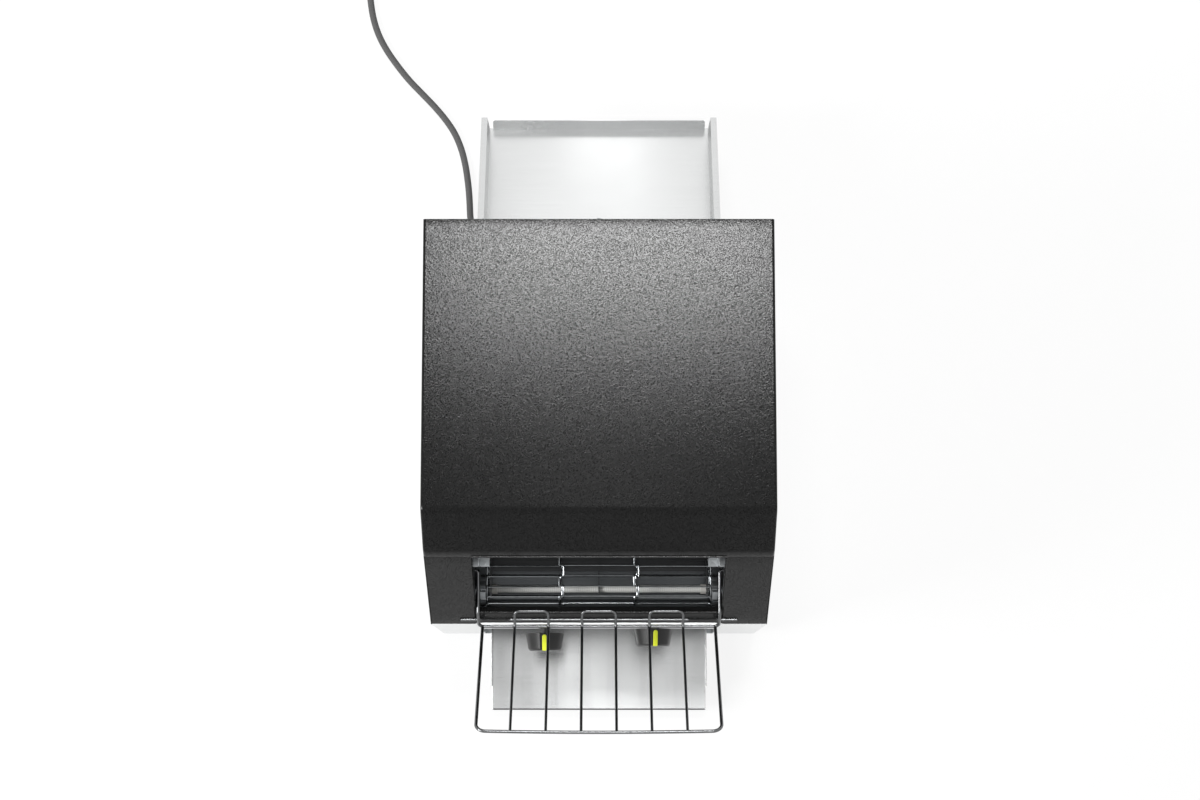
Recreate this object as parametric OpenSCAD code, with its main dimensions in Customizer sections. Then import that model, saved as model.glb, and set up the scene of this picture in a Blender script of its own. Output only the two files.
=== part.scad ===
// Conveyor toaster: slices ride on a wire ladder belt between two banks of heater tubes and
// leave by the front tray or the rear chute.
// y is measured back from the lower front face of the cabinet; in_frame() then centres the whole on the origin.

/* [Cabinet] */
// Width over the hood and the side panels
body_w = 369; // [350:1:420]
// Depth from the lower front face to the back
body_d = 416; // [405:1:470]
// Height of the flat top above the table
body_h = 387; // [380:1:430]
// Height of the rubber feet
foot_h = 16; // [12:1:20]
// Diameter of a foot at the table
foot_dia = 32; // [24:1:38]
// Thickness of the folded sheet
sheet = 1.2; // [0.8:0.1:1.5]
// Height where the black hood meets the steel base
waist_z = 225; // [222:1:232]
// Clear width between the two chamber walls
chamber_w = 270; // [266:1:280]
// Width of the flanges that join sheet to sheet
flange = 14; // [10:1:18]

/* [Hood] */
// How far back the lip of the hood stands
lip_y = 64.4; // [50:0.2:75]
// Drop from the flat top to the lip
hood_drop = 47.5; // [40:0.5:55]
// Dip of the hood's slope below level
hood_dip = 45; // [35:1:50]
// Radius of the bend at the flat top
hood_bend_r = 14; // [8:1:24]
// Radius of the bend above the lip
lip_bend_r = 16; // [8:1:24]
// Straight length of the lip
lip_flat = 7.5; // [4:0.5:12]
// Radius of the fold along the sides of the top
fold_r = 3; // [2:0.5:5]

/* [Mouth] */
// Height of the bar under the mouth, along the slope
bar_h = 21; // [16:1:26]
// Depth of the folded edge round the mouth
mouth_fold = 8; // [5:0.5:8.5]

/* [Belt] */
// Height of the top run above the waist
belt_lift = 20; // [18:0.5:24]
// Distance from the front face to the front of the belt
belt_front_y = 21.6; // [20:0.2:26]
// Distance between the two belt axles
belt_run = 282; // [260:1:286]
// Width of the belt over its edge hooks
belt_w = 246; // [236:1:250]
// Distance between rungs
rung_pitch = 11.4; // [10.8:0.1:12.4]
// Diameter of the belt wire
belt_wire = 2; // [1.6:0.1:2.4]
// Side step of a rung at each column of hooks
rung_step = 1; // [0.6:0.1:2.4]
// Teeth of a belt sprocket
sprocket_teeth = 8; // [7:1:9]
// Thickness of a belt sprocket
sprocket_t = 6; // [4:0.5:7]

/* [Drive] */
// Diameter of the drive shaft
shaft_dia = 10; // [8:0.5:12]
// Diameter of the stub axles of the front sprockets
axle_dia = 8; // [6:0.5:9]
// Gear module
gear_module = 1.5; // [1.25:0.25:1.5]
// Teeth of the gear on the drive shaft
shaft_gear_teeth = 36; // [34:2:38]
// Teeth of the motor pinion
pinion_teeth = 18; // [18:4:22]
// Width of the gear teeth
gear_t = 7; // [5:0.5:8]
// Diameter of the gearmotor
motor_dia = 50; // [42:1:54]
// Length of the gearmotor
motor_len = 19; // [14:0.5:20]

/* [Heaters] */
// Diameter of a heater tube
tube_dia = 8; // [7:0.5:10]
// Distance between the upper tubes
upper_pitch = 95; // [80:1:100]
// Height of the upper tubes above the belt
upper_gap = 58; // [52:1:62]
// Distance between the lower tubes
lower_pitch = 100; // [90:1:105]
// Length of a tube's ceramic end cap
cap_len = 6; // [4:0.5:8]

/* [Controls] */
// Height of the knob axes
knob_z = 176; // [170:1:182]
// Distance between the knob axes
knob_gap = 121; // [110:1:150]
// Diameter of a knob at its back
knob_dia = 43; // [38:1:46]
// Diameter of a knob at its front
knob_front_dia = 36; // [30:1:38]
// Length of a knob
knob_len = 19; // [16:0.5:22]
// Gap behind the heat knob, on the left
heat_knob_gap = 8; // [6:0.5:9]
// Gap behind the speed knob, on the right
speed_knob_gap = 3; // [2.5:0.5:5]
// Diameter of a control spindle
spindle_dia = 6; // [5:0.5:7]
// Depth of the control box
box_d = 62; // [56:1:66]
// Height of the lower edge of the control panel
panel_low_z = 128; // [122:1:134]

/* [Feed rack] */
// Distance of the front bar before the front face
rack_reach = 117; // [90:1:125]
// Height of the front bar
rack_bar_z = 352; // [330:1:360]
// Width between the centres of the side wires
rack_w = 255; // [245:1:257]
// Width between the centres of the arms
rack_arm_w = 263; // [261:0.5:264]
// Diameter of the frame wire
rack_wire = 3.6; // [3:0.1:4]
// Diameter of the carrying wires
carrier_wire = 3; // [2.4:0.1:3.4]
// Width of one carrying loop
loop_w = 36.8; // [32:0.2:40]
// Distance between the carrying loops
loop_pitch = 73.5; // [70:0.5:76]
// Corner radius of the frame and the loops
rack_corner = 10; // [6:1:12]
// Bend radius of the arms where they come out over the bezel
arm_bend = 8; // [4:1:12]
// Bend radius of the arms where they turn under the frame
arm_foot = 8; // [4:1:9]
// Length of a stub that rests on the bezel
stub_len = 20; // [16:1:26]

/* [Front tray] */
// Reach of the tray before the front face
tray_reach = 90.6; // [70:0.2:105]
// Width of the tray floor
tray_w = 252; // [240:1:254]
// Height of the tray's upper face
tray_z = 25; // [24:0.2:27]
// Height of the tray's side flanges
tray_side_h = 11; // [8:1:14]
// Length of the tray behind the front face
tray_in = 84; // [70:1:95]

/* [Rear chute] */
// Slope of the chute floor
chute_slope = 21.6; // [18:0.2:24]
// Height of the chute floor at the back of the cabinet
chute_z = 147; // [144:1:152]
// Reach of the chute behind the cabinet
chute_reach = 187.3; // [150:0.1:200]
// Length of the chute inside the cabinet, along its floor
chute_in = 64; // [50:1:70]
// Clear width of the chute
chute_w = 262; // [250:1:263]
// Height of the chute walls at the far end
chute_end_h = 57; // [50:1:66]
// Rise of the chute walls towards the cabinet, over the floor's own
chute_rise = 16; // [8:1:20]
// Height of the wall inside the cabinet
chute_in_h = 40; // [30:1:44]
// Width of the flange on top of the walls
chute_flange = 6; // [4:0.5:7]
// Height of the lip at the far end
chute_lip = 16; // [12:1:22]

/* [Cord] */
// Diameter of the power cord
cord_dia = 8; // [8:1:8]
// Height of the cord's exit
cord_exit_z = 58; // [58:1:58]
// Distance of the cord's exit from the middle
cord_exit_x = 155; // [155:1:155]

/* [Hidden] */

weld = 0.2;           // how far a wire runs into its bend
touch = 0.2;          // gap between sheets that lie side by side
run = 0.05;           // radial clearance of a shaft in its bush
seat = 0.3;           // gap under a piece that lifts or slides off
half_w = body_w / 2;
wall_x = chamber_w / 2;
pan_z = foot_h + sheet;
lip_z = body_h - hood_drop;
tilt = atan(lip_y / (lip_z - waist_z));
slope_len = norm([lip_y, lip_z - waist_z]);
wall_y = flange + touch;
back_y = body_d - sheet;

// The whole is centred between the rack's front bar and the chute's far end
front_reach = rack_reach + rack_wire / 2;
chute_end_y = body_d + chute_reach;
front_y = (front_reach - chute_end_y - chute_lip * sin(chute_slope)) / 2;

// Belt loop
sprocket_r = rung_pitch / (2 * sin(180 / sprocket_teeth));
belt_z = waist_z + belt_lift;
axle_z = belt_z - sprocket_r;
axle_y = belt_front_y + sprocket_r;
shaft_y = axle_y + belt_run;
loop_len = 2 * belt_run + 2 * PI * sprocket_r;
rungs = round(loop_len / rung_pitch);
edge_x = belt_w / 2;
sprocket_x = edge_x + 0.6;

// Gear pair
shaft_gear_r = gear_module * shaft_gear_teeth / 2;
pinion_r = gear_module * pinion_teeth / 2;
// From a chamber wall outwards: bush, collar, gear, bracket and motor. The room left over before the side panel is
// shared out between the collar's front and the motor's end.
bush_out = 3;
collar = 5;
bracket_gap = 2.5;
drive_spare = half_w - sheet - (wall_x + sheet + bush_out + collar + gear_t + bracket_gap + sheet + motor_len);
gear_x = wall_x + sheet + bush_out + collar + drive_spare * 5 / 9.4;
pinion_z = axle_z - shaft_gear_r - pinion_r - 0.1;

// ---------- helpers ----------
module in_frame() translate([0, front_y, 0]) children();
// An outline drawn in y and z, made solid across x
module across(w) rotate([90, 0, 90]) linear_extrude(w, center = true) children();
module from_x(x, w) translate([x, 0, 0]) rotate([90, 0, 90]) linear_extrude(w) children();
// An outline drawn in x and z, made solid along y
module along_y(y, l) translate([0, y + l, 0]) rotate([90, 0, 0]) linear_extrude(l) children();
module both_sides() { children(); mirror([1, 0, 0]) children(); }
// Drawn with z along the slope of the mouth and y behind its face
module on_slope() translate([0, 0, waist_z]) rotate([-tilt, 0, 0]) children();
// Drawn with y down the chute and z square to its floor
module on_chute() translate([0, body_d, chute_z]) rotate([-chute_slope, 0, 0]) children();
module disc_x(x, l, d, y, z) translate([x, y, z]) rotate([0, 90, 0]) cylinder(h = l, d = d, $fn = 48);

module rod(a, b, d) {
    v = b - a;
    translate(a) rotate([0, acos(v[2] / norm(v)), atan2(v[1], v[0])]) cylinder(h = norm(v), d = d, $fn = 24);
}
// A round wire along a path, with a bend at each inner point, of radius r or of the radii listed in r; the rods
// run a little into the bends
module wire(path, d, r) {
    last = len(path) - 1;
    bend = [for (i = [0:last]) is_list(r) ? r[max(0, min(i, last - 1) - 1)] : r];
    dir = [for (i = [0:last - 1]) unit(path[i + 1] - path[i])];
    turn = [for (i = [0:last]) i == 0 || i == last ? 0 : acos(min(1, dir[i - 1] * dir[i]))];
    cut = [for (i = [0:last]) max(0, bend[i] * tan(turn[i] / 2) - weld)];
    for (i = [0:last - 1]) rod(path[i] + cut[i] * dir[i], path[i + 1] - cut[i + 1] * dir[i], d);
    for (i = [1:last - 1]) {
        x = unit(cross(cross(dir[i - 1], dir[i]), dir[i - 1])) * -1;
        start = path[i] - bend[i] * tan(turn[i] / 2) * dir[i - 1];
        centre = start - bend[i] * x;
        z = cross(x, dir[i - 1]);
        multmatrix([for (k = [0:2]) [x[k], dir[i - 1][k], z[k], centre[k]]])
            rotate_extrude(angle = turn[i], $fn = 48) translate([bend[i], 0]) circle(d = d + weld / 4, $fn = 24);
    }
}
// A straight piece of flat outline from a to b, w wide, with square ends
module stroke(a, b, w) {
    v = unit(b - a) * w / 2;
    n = left_of(v);
    polygon([a - v - n, b + v - n, b + v + n, a - v + n]);
}
function unit(v) = v / norm(v);
function left_of(v) = [-v[1], v[0]];
function reversed(list) = [for (i = [len(list) - 1:-1:0]) list[i]];
function mitre(path, i, t) = let(
    n = len(path), a = max(i, 1), b = min(i, n - 2),
    side = left_of(unit(path[a] - path[a - 1])),
    mean = unit(side + left_of(unit(path[b + 1] - path[b]))))
    path[i] + mean * t / (mean * side);
// A folded strip of thickness t, to the left of its path
function band(path, t) = concat(path, reversed([for (i = [0:len(path) - 1]) mitre(path, i, t)]));
function arc(c, r, a0, a1, n) = [for (i = [0:n]) let(a = a0 + (a1 - a0) * i / n) c + r * [cos(a), sin(a)]];

// ---------- hood ----------
lip_dip = 90 - tilt;
lip_bend = [lip_y, lip_z] + lip_flat * [sin(tilt), cos(tilt)] + lip_bend_r * [sin(lip_dip), -cos(lip_dip)];
slope_foot = lip_bend + lip_bend_r * [-sin(hood_dip), cos(hood_dip)];
slope_head_z = body_h - hood_bend_r + hood_bend_r * cos(hood_dip);
flat_y = slope_foot[0] + (slope_head_z - slope_foot[1]) / tan(hood_dip) + hood_bend_r * sin(hood_dip);
top_bend = [flat_y, body_h - hood_bend_r];
// The hood's line from the flat top to the lip, inset by t
function hood_line(t) = concat(
    arc(top_bend, hood_bend_r - t, 90, 90 + hood_dip, 9),
    arc(lip_bend, lip_bend_r - t, 90 + hood_dip, 90 + lip_dip, 4),
    [[lip_y, lip_z] + t * [sin(lip_dip), -cos(lip_dip)]]);

module top_cover() color("#232323") in_frame() intersection() {
    union() {
        across(body_w) polygon(concat([[body_d, body_h]], hood_line(0), reversed(hood_line(sheet)),
            [[body_d, body_h - sheet]]));
        both_sides() from_x(half_w - sheet, sheet) polygon(concat([[body_d, body_h - sheet / 2]],
            hood_line(sheet / 2), [[0, waist_z], [body_d, waist_z]]));
        translate([-half_w, body_d - sheet, body_h - flange]) cube([body_w, sheet, flange]);
        on_slope() translate([touch - wall_x, sheet / 2, slope_len])
            cube([chamber_w - 2 * touch, mouth_fold, sheet]);
    }
    along_y(-1, body_d + 2) polygon(concat(
        [[half_w, 0]], arc([half_w - fold_r, body_h - fold_r], fold_r, 0, 90, 6),
        arc([fold_r - half_w, body_h - fold_r], fold_r, 90, 180, 6), [[-half_w, 0]]));
}

module front_bezel() color("#2c2c2c") in_frame() on_slope() difference() {
    union() {
        translate([sheet + touch - half_w, sheet, touch])
            cube([body_w - 2 * (sheet + touch), sheet, slope_len - 2 * touch]);
        both_sides() translate([wall_x, sheet, touch]) cube([sheet, mouth_fold, slope_len - 2 * touch - sheet]);
        translate([-wall_x, sheet, bar_h - sheet]) cube([chamber_w, mouth_fold, sheet]);
    }
    translate([-wall_x, 0, bar_h]) cube([chamber_w, 3 * mouth_fold, slope_len]);
    translate([-half_w, -1, -flange]) rotate([tilt, 0, 0]) cube([body_w, 30, flange + touch]);
}

// ---------- cabinet ----------
slot_l = 62;
slot_h = 4.5;
slot_pitch = 16;
slot_rows = 7;
slot_z = waist_z - 60;
slot_ys = [70, 250];
louvre_in = 5;

module side_panel() {
    difference() {
        translate([0, 0, pan_z]) linear_extrude(waist_z - pan_z) polygon([
            [wall_x, 0], [half_w, 0], [half_w, body_d], [half_w - sheet, body_d], [half_w - sheet, back_y],
            [half_w - sheet - flange, back_y], [half_w - sheet - flange, back_y - sheet],
            [half_w - sheet, back_y - sheet], [half_w - sheet, sheet], [wall_x + sheet, sheet],
            [wall_x + sheet, flange], [wall_x, flange]]);
        for (y = slot_ys, i = [0:slot_rows - 1])
            translate([half_w - 2 * sheet, y, slot_z - i * slot_pitch]) cube([3 * sheet, slot_l, slot_h]);
    }
    for (y = slot_ys, i = [0:slot_rows - 1]) let(x = half_w - sheet, z = slot_z - i * slot_pitch + slot_h)
        along_y(y, slot_l) polygon([[x, z], [x, z + sheet * 1.4], [x - louvre_in, z + sheet * 1.4 - louvre_in],
            [x - louvre_in, z - louvre_in]]);
}
module left_side_panel() color("#c9cbcc") in_frame() mirror([1, 0, 0]) side_panel();
module right_side_panel() color("#c9cbcc") in_frame() side_panel();

opening_low = chute_z - sheet - seat;
opening_high = 214;
module rear_panel() color("#303030") in_frame() difference() {
    x = half_w - sheet - touch;
    translate([-x, back_y, pan_z]) cube([2 * x, sheet, body_h - flange - touch - pan_z]);
    translate([-wall_x + 0.8, back_y - 1, opening_low]) cube([chamber_w - 1.6, sheet + 2, opening_high - opening_low]);
    for (s = [-1, 1], i = [0:5]) translate([s * 105 - 40, back_y - 1, 262 + i * slot_pitch])
        cube([80, sheet + 2, slot_h]);
    translate([-cord_exit_x, back_y - 1, cord_exit_z]) rotate([-90, 0, 0]) cylinder(h = sheet + 2, d = gland_dia, $fn = 48);
}

foot_x = half_w - 36;
foot_ys = [36, body_d - 36];
foot_bolt = 5;
module at_feet() for (x = [-foot_x, foot_x], y = foot_ys) translate([x, y, 0]) children();
module base_pan() color("#b9bcbe") in_frame() difference() {
    union() {
        translate([-half_w, 0, foot_h]) cube([body_w, body_d, sheet]);
        both_sides() translate([half_w - 2 * sheet - touch, 20, foot_h]) cube([sheet, body_d - 60, flange]);
        translate([touch - wall_x, back_y - sheet - touch, foot_h]) cube([2 * (wall_x - touch), sheet, flange]);
    }
    at_feet() cylinder(h = 40, d = foot_bolt, $fn = 32);
    for (i = [0:7]) translate([half_w - 44, 90 + i * 12, foot_h - 1]) cube([26, slot_h, 3]);
}
module feet() color("#1a1a1a") in_frame() at_feet() rotate_extrude($fn = 64) polygon([
    [foot_bolt / 2, foot_h * 0.45], [foot_bolt * 1.1, foot_h * 0.45], [foot_bolt * 1.1, 0], [foot_dia / 2 - 1, 0],
    [foot_dia / 2, 1], [foot_dia / 2 - 3, foot_h], [foot_bolt / 2, foot_h]]);

// Chamber walls: their front edge follows the mouth, and the axles, tubes and rack hooks go through them
hook = [57, 254];
wall_top = body_h - 14;
wall_depth = mouth_fold + 2 * sheet + 0.4;
function slope_point(u, w) = [u * sin(tilt) + w * cos(tilt), waist_z + u * cos(tilt) - w * sin(tilt)];
bush_dia = shaft_dia + 5;
// The front edge joins the mouth's slope at 8 mm up it, or higher where a flatter slope would dip under the waist
edge_up = max(8, (wall_depth * sin(tilt) + touch + 0.5) / cos(tilt));
module chamber_wall(x) difference() {
    from_x(x, sheet) polygon([[wall_y, pan_z], [wall_y, waist_z + touch],
        slope_point(edge_up, wall_depth), slope_point(slope_len - 12, wall_depth), [flat_y + 6, wall_top],
        [back_y - touch, wall_top], [back_y - touch, pan_z]]);
    disc_x(x - 1, sheet + 2, rack_wire + 2 * run, hook[0], hook[1]);
    disc_x(x - 1, sheet + 2, bush_dia, shaft_y, axle_z);
    disc_x(x - 1, sheet + 2, axle_dia - 1, axle_y, axle_z);
}
module left_chamber_wall() color("#a9acae") in_frame() mirror([1, 0, 0]) chamber_wall(wall_x);
module right_chamber_wall() color("#a9acae") in_frame() chamber_wall(wall_x);

knob_x = knob_gap / 2;
bush_hole = 10;
module control_panel() color("#cfd1d2") in_frame() difference() {
    w = wall_x - touch;
    across(2 * w) polygon(band([[12, waist_z], [0, waist_z], [0, panel_low_z], [12, panel_low_z]], sheet));
    for (x = [-knob_x, knob_x]) translate([x, -1, knob_z]) rotate([-90, 0, 0]) cylinder(h = 4, d = bush_hole, $fn = 48);
}
box_top = axle_z - sprocket_r - 10;
module control_box() color("#9b9ea0") in_frame() across(2 * (wall_x - touch)) polygon(band([
    [12 + touch, panel_low_z + sheet], [box_d, panel_low_z + sheet], [box_d, box_top], [28, box_top],
    [13, waist_z - 4]], -sheet));

// ---------- slides, tray and chute ----------
slide_head = [back_y - 8, chute_z - 18];
slide_foot = [64, 37];
module inner_slide() color("#bfc2c4") in_frame() {
    w = wall_x - touch;
    across(2 * w) polygon(band([slide_foot, slide_head, slide_head + [0, -flange]], -sheet));
    both_sides() from_x(w - sheet, sheet) polygon([slide_foot + [30, 8], slide_head + [-10, -2.6],
        slide_head + [-10, -16], slide_foot + [44, -4]]);
}
runner_x = tray_w / 2 - 10;
runner_h = tray_z - sheet - seat - pan_z;
module tray_runners() color("#8d9092") in_frame() both_sides() translate([runner_x - 6, 4, pan_z])
    cube([12, tray_in + 12, runner_h]);

module front_tray() color("#d6d8d9") in_frame() {
    hem = 4;
    across(tray_w) polygon(band([[tray_in, tray_z], [-tray_reach, tray_z], [-tray_reach - 0.01, tray_z - hem]], sheet));
    both_sides() translate([tray_w / 2, -tray_reach + 28, tray_z - sheet])
        cube([sheet, tray_reach - 28 + tray_in, tray_side_h]);
}

rod_dia = 8;
chute_rod_c = [body_d, chute_z] + (chute_in - 14) * [-cos(chute_slope), sin(chute_slope)]
    - (sheet + seat + rod_dia / 2) * [sin(chute_slope), cos(chute_slope)];
module chute_rod() color("#a0a3a5") in_frame()
    disc_x(-wall_x, chamber_w, rod_dia, chute_rod_c[0], chute_rod_c[1]);

chute_len = chute_reach / cos(chute_slope);
chute_end_z = chute_z - chute_reach * tan(chute_slope);
wall_start = body_d + 6;
function floor_z(y) = chute_z - (y - body_d) * tan(chute_slope);
chute_lean = 4;         // how far the walls' top ends short of the floor
chute_top_far = [chute_end_y - chute_lean, chute_end_z + chute_end_h];
chute_top_near = [wall_start, floor_z(wall_start) + chute_end_h + chute_rise];
lip_slot = 4;
module rear_chute() color("#dadcdd") in_frame() {
    on_chute() {
        translate([-chute_w / 2 - sheet, -chute_in, -sheet]) cube([chute_w + 2 * sheet, chute_in + chute_len, sheet]);
        lip_w = chute_w - 2 * lip_slot;
        translate([0, chute_len, 0]) rotate([90, 0, 0]) linear_extrude(sheet) polygon(concat(
            [[-lip_w / 2, -sheet], [lip_w / 2, -sheet]], arc([lip_w / 2 - 5, chute_lip - 5], 5, 0, 90, 5),
            arc([5 - lip_w / 2, chute_lip - 5], 5, 90, 180, 5)));
    }
    drop = sheet / cos(chute_slope);
    in_y = body_d - chute_in * cos(chute_slope);
    both_sides() {
        from_x(chute_w / 2, sheet) polygon([[in_y, floor_z(in_y) - drop], [chute_end_y, chute_end_z - drop],
            chute_top_far, chute_top_near, [wall_start, floor_z(wall_start) + chute_in_h],
            [in_y, floor_z(in_y) + chute_in_h]]);
        from_x(chute_w / 2, chute_flange + sheet) polygon(band([chute_top_far, chute_top_near], -sheet));
    }
}

// ---------- feed rack ----------
arm_x = rack_arm_w / 2;
arm_off = sheet - 5;
rest_off = sheet - carrier_wire / 2 - seat;
rack_foot = slope_point(1.5, arm_off);
rack_top = [-rack_reach, rack_bar_z];
// Where the carrying wires turn level, and where their loops end over the bar
carry = [-3, waist_z + 13];
loop_end = [14.3 - carrier_wire / 2, waist_z + 23.5];
function at(x, p) = [x, p[0], p[1]];
// Cross wire with its hooked arms, front frame, three carrying loops, tie rod and two stubs that rest on the bezel
module feed_rack() color("#d8dadb") in_frame() {
    bend = slope_point(24, arm_off);
    rest = slope_point(17, rest_off);
    pin_end = wall_x + sheet + 1.5;
    wire([at(-pin_end, hook), at(-arm_x, hook), at(-arm_x, bend), at(-arm_x, rack_foot),
        at(arm_x, rack_foot), at(arm_x, bend), at(arm_x, hook), at(pin_end, hook)], rack_wire,
        [3, arm_bend, arm_foot, arm_foot, arm_bend, 3]);
    wire([at(-rack_w / 2, rack_foot), at(-rack_w / 2, rack_top), at(rack_w / 2, rack_top), at(rack_w / 2, rack_foot)],
        rack_wire, rack_corner);
    both_sides() rod(at(arm_x - 3, rest), at(arm_x + stub_len, rest), carrier_wire);
    for (x = [-loop_pitch, 0, loop_pitch]) let(l = x - loop_w / 2, r = x + loop_w / 2)
        wire([at(l, rack_top), at(l, carry), at(l, loop_end), at(r, loop_end), at(r, carry), at(r, rack_top)],
            carrier_wire, 8);
    tie_x = loop_pitch + loop_w / 2 + 6;
    tie = carry + (loop_end - carry) * 0.45 - [0, carrier_wire * 0.9];
    rod(at(-tie_x, tie), at(tie_x, tie), carrier_wire);
}

// ---------- belt ----------
// Place and dip of the belt at distance s round the loop, from the start of the top run at the front
half_turn = PI * sprocket_r;
function belt_place(s) =
    s < belt_run ? [axle_y + s, belt_z, 0]
    : s < belt_run + half_turn ? let(a = (s - belt_run) / sprocket_r * 180 / PI)
        [shaft_y + sprocket_r * sin(a), axle_z + sprocket_r * cos(a), -a]
    : s < 2 * belt_run + half_turn ? [shaft_y - (s - belt_run - half_turn), axle_z - sprocket_r, 180]
    : let(a = (s - 2 * belt_run - half_turn) / sprocket_r * 180 / PI)
        [axle_y - sprocket_r * sin(a), axle_z - sprocket_r * cos(a), 180 - a];
column_x = edge_x / 3;
belt_pitch = loop_len / rungs;
hook_play = 0.3;
belt_start = 0.28;     // place of the first rung past the front axle, in pitches
// One rung: three stepped spans, and at each column a hook that dips with the loop and reaches the next rung
module rung(dip, reach) {
    out = edge_x;
    in = column_x;
    translate([0, 0, -belt_wire / 2]) linear_extrude(belt_wire) polygon(band([[-out, -belt_wire / 2],
        [-in - 1, -belt_wire / 2], [-in + 1, rung_step - belt_wire / 2], [in - 1, rung_step - belt_wire / 2],
        [in + 1, -belt_wire / 2], [out, -belt_wire / 2]], belt_wire));
    hook_l = reach - belt_wire - hook_play;
    rotate([-dip, 0, 0]) for (s = [-1, 1]) translate([0, 0, -belt_wire / 2]) {
        linear_extrude(belt_wire) stroke([s * (in - 1), rung_step], [s * (in + 0.8), hook_l], belt_wire * 0.9);
        linear_extrude(belt_wire) stroke([s * (out - 1), 1], [s * (out - 2.5), hook_l], belt_wire * 0.9);
    }
}
module belt() color("#b8bbbd") in_frame() for (i = [0:rungs - 1]) {
    p = belt_place((i + belt_start) * belt_pitch);
    next = belt_place(((i + 1) % rungs + belt_start) * belt_pitch);
    way = [next[0] - p[0], next[1] - p[1]];
    translate([0, p[0], p[1]]) rotate([p[2], 0, 0]) rung(p[2] - atan2(way[1], way[0]), norm(way));
}

// A sprocket lies in the y-z plane, with gullets that take the belt wire
module sprocket(x, t, bore) difference() {
    tip_r = sprocket_r + 2.5;
    disc_x(x, t, 2 * tip_r, 0, 0);
    for (i = [0:sprocket_teeth - 1]) rotate([i * 360 / sprocket_teeth, 0, 0]) {
        disc_x(x - 1, t + 2, belt_wire * 2.4, sprocket_r, 0);
        translate([x - 1, sprocket_r, -belt_wire * 1.5]) cube([t + 2, 6, belt_wire * 3]);
    }
    disc_x(x - 1, t + 2, bore, 0, 0);
}
module at_shaft() translate([0, shaft_y, axle_z]) children();
module at_front_axle() translate([0, axle_y, axle_z]) children();

gear_end = gear_x + gear_t;
module drive_shaft() color("#c4c6c8") in_frame() at_shaft()
    disc_x(-wall_x - sheet - 6, wall_x + sheet + 6 + gear_end + 3, shaft_dia, 0, 0);
module drive_sprockets() color("#8f9294") in_frame() at_shaft()
    both_sides() sprocket(sprocket_x, sprocket_t, shaft_dia + 2 * run);
module left_front_sprocket() color("#8f9294") in_frame() at_front_axle()
    mirror([1, 0, 0]) sprocket(sprocket_x, sprocket_t, axle_dia + 2 * run);
module right_front_sprocket() color("#8f9294") in_frame() at_front_axle()
    sprocket(sprocket_x, sprocket_t, axle_dia + 2 * run);
// Headed stub axles, shouldered against the walls and riveted over outside
module front_axles() color("#c4c6c8") in_frame() at_front_axle() both_sides() {
    disc_x(sprocket_x - 1.6, 1.4, axle_dia + 4, 0, 0);
    disc_x(sprocket_x - 1.6, wall_x - sprocket_x + 1.6, axle_dia, 0, 0);
    disc_x(sprocket_x + sprocket_t + 0.4, wall_x - sprocket_x - sprocket_t - 0.4, axle_dia + 4, 0, 0);
    disc_x(wall_x - 1, sheet + 1, axle_dia - 1 - 2 * run, 0, 0);
    disc_x(wall_x + sheet, 1.5, axle_dia + 2, 0, 0);
}
module shaft_bushes() color("#b08d57") in_frame() at_shaft() both_sides() difference() {
    union() {
        disc_x(wall_x - 2, 2, bush_dia + 6, 0, 0);
        disc_x(wall_x - 1, 1 + sheet + bush_out, bush_dia - 2 * run, 0, 0);
    }
    disc_x(wall_x - 3, sheet + 8, shaft_dia + 2 * run, 0, 0);
}

// Involute gear outline
pressure = 20;
function inv(a) = tan(a) * 180 / PI - a;
function gear_outline(teeth) = let(
    r = gear_module * teeth / 2, base = r * cos(pressure),
    radii = [for (k = [0:4]) max(base, r - gear_module) + k * (r + gear_module - max(base, r - gear_module)) / 4],
    half = 90 / teeth * 0.94, root = r - 1.25 * gear_module,
    flank = [for (q = radii) [q, half + inv(pressure) - inv(acos(base / q))]])
    [for (i = [0:teeth - 1]) let(a = i * 360 / teeth) each concat(
        [root * [cos(a - flank[0][1]), sin(a - flank[0][1])]],
        [for (f = flank) f[0] * [cos(a - f[1]), sin(a - f[1])]],
        [for (f = reversed(flank)) f[0] * [cos(a + f[1]), sin(a + f[1])]],
        [root * [cos(a + flank[0][1]), sin(a + flank[0][1])]])];
module shaft_gear() color("#9a7f4a") in_frame() at_shaft() difference() {
    union() {
        from_x(gear_x, gear_t) polygon(gear_outline(shaft_gear_teeth));
        disc_x(gear_x - collar, collar, shaft_dia + 10, 0, 0);
    }
    disc_x(gear_x - collar - 1, gear_t + collar + 3, shaft_dia + 2 * run, 0, 0);
    for (i = [0:3]) rotate([45 + i * 90, 0, 0]) disc_x(gear_x - 1, gear_t + 2, 9, shaft_gear_r * 0.6, 0);
}
module at_pinion() translate([0, shaft_y, pinion_z]) children();
motor_face_x = gear_end + bracket_gap;
output_dia = 8;
module motor_pinion() color("#9a7f4a") in_frame() at_pinion() {
    from_x(gear_x, gear_t) polygon(gear_outline(pinion_teeth));
    disc_x(gear_x - 2, motor_face_x + sheet + 8 - gear_x, output_dia, 0, 0);
}
motor_x = motor_face_x + sheet;
bracket_half = motor_dia / 2 + 8;
module motor_bracket() color("#a9acae") in_frame() at_pinion() {
    post_x = wall_x + sheet;
    difference() {
        from_x(motor_face_x, sheet) difference() {
            translate([-bracket_half, -bracket_half]) square([2 * bracket_half, bracket_half + pinion_r - 2]);
            circle(d = output_dia + 6, $fn = 48);
        }
    }
    for (y = [5 - bracket_half, bracket_half - 5], z = [5 - bracket_half, 3]) disc_x(post_x, motor_face_x - post_x, 8, y, z);
}
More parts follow.
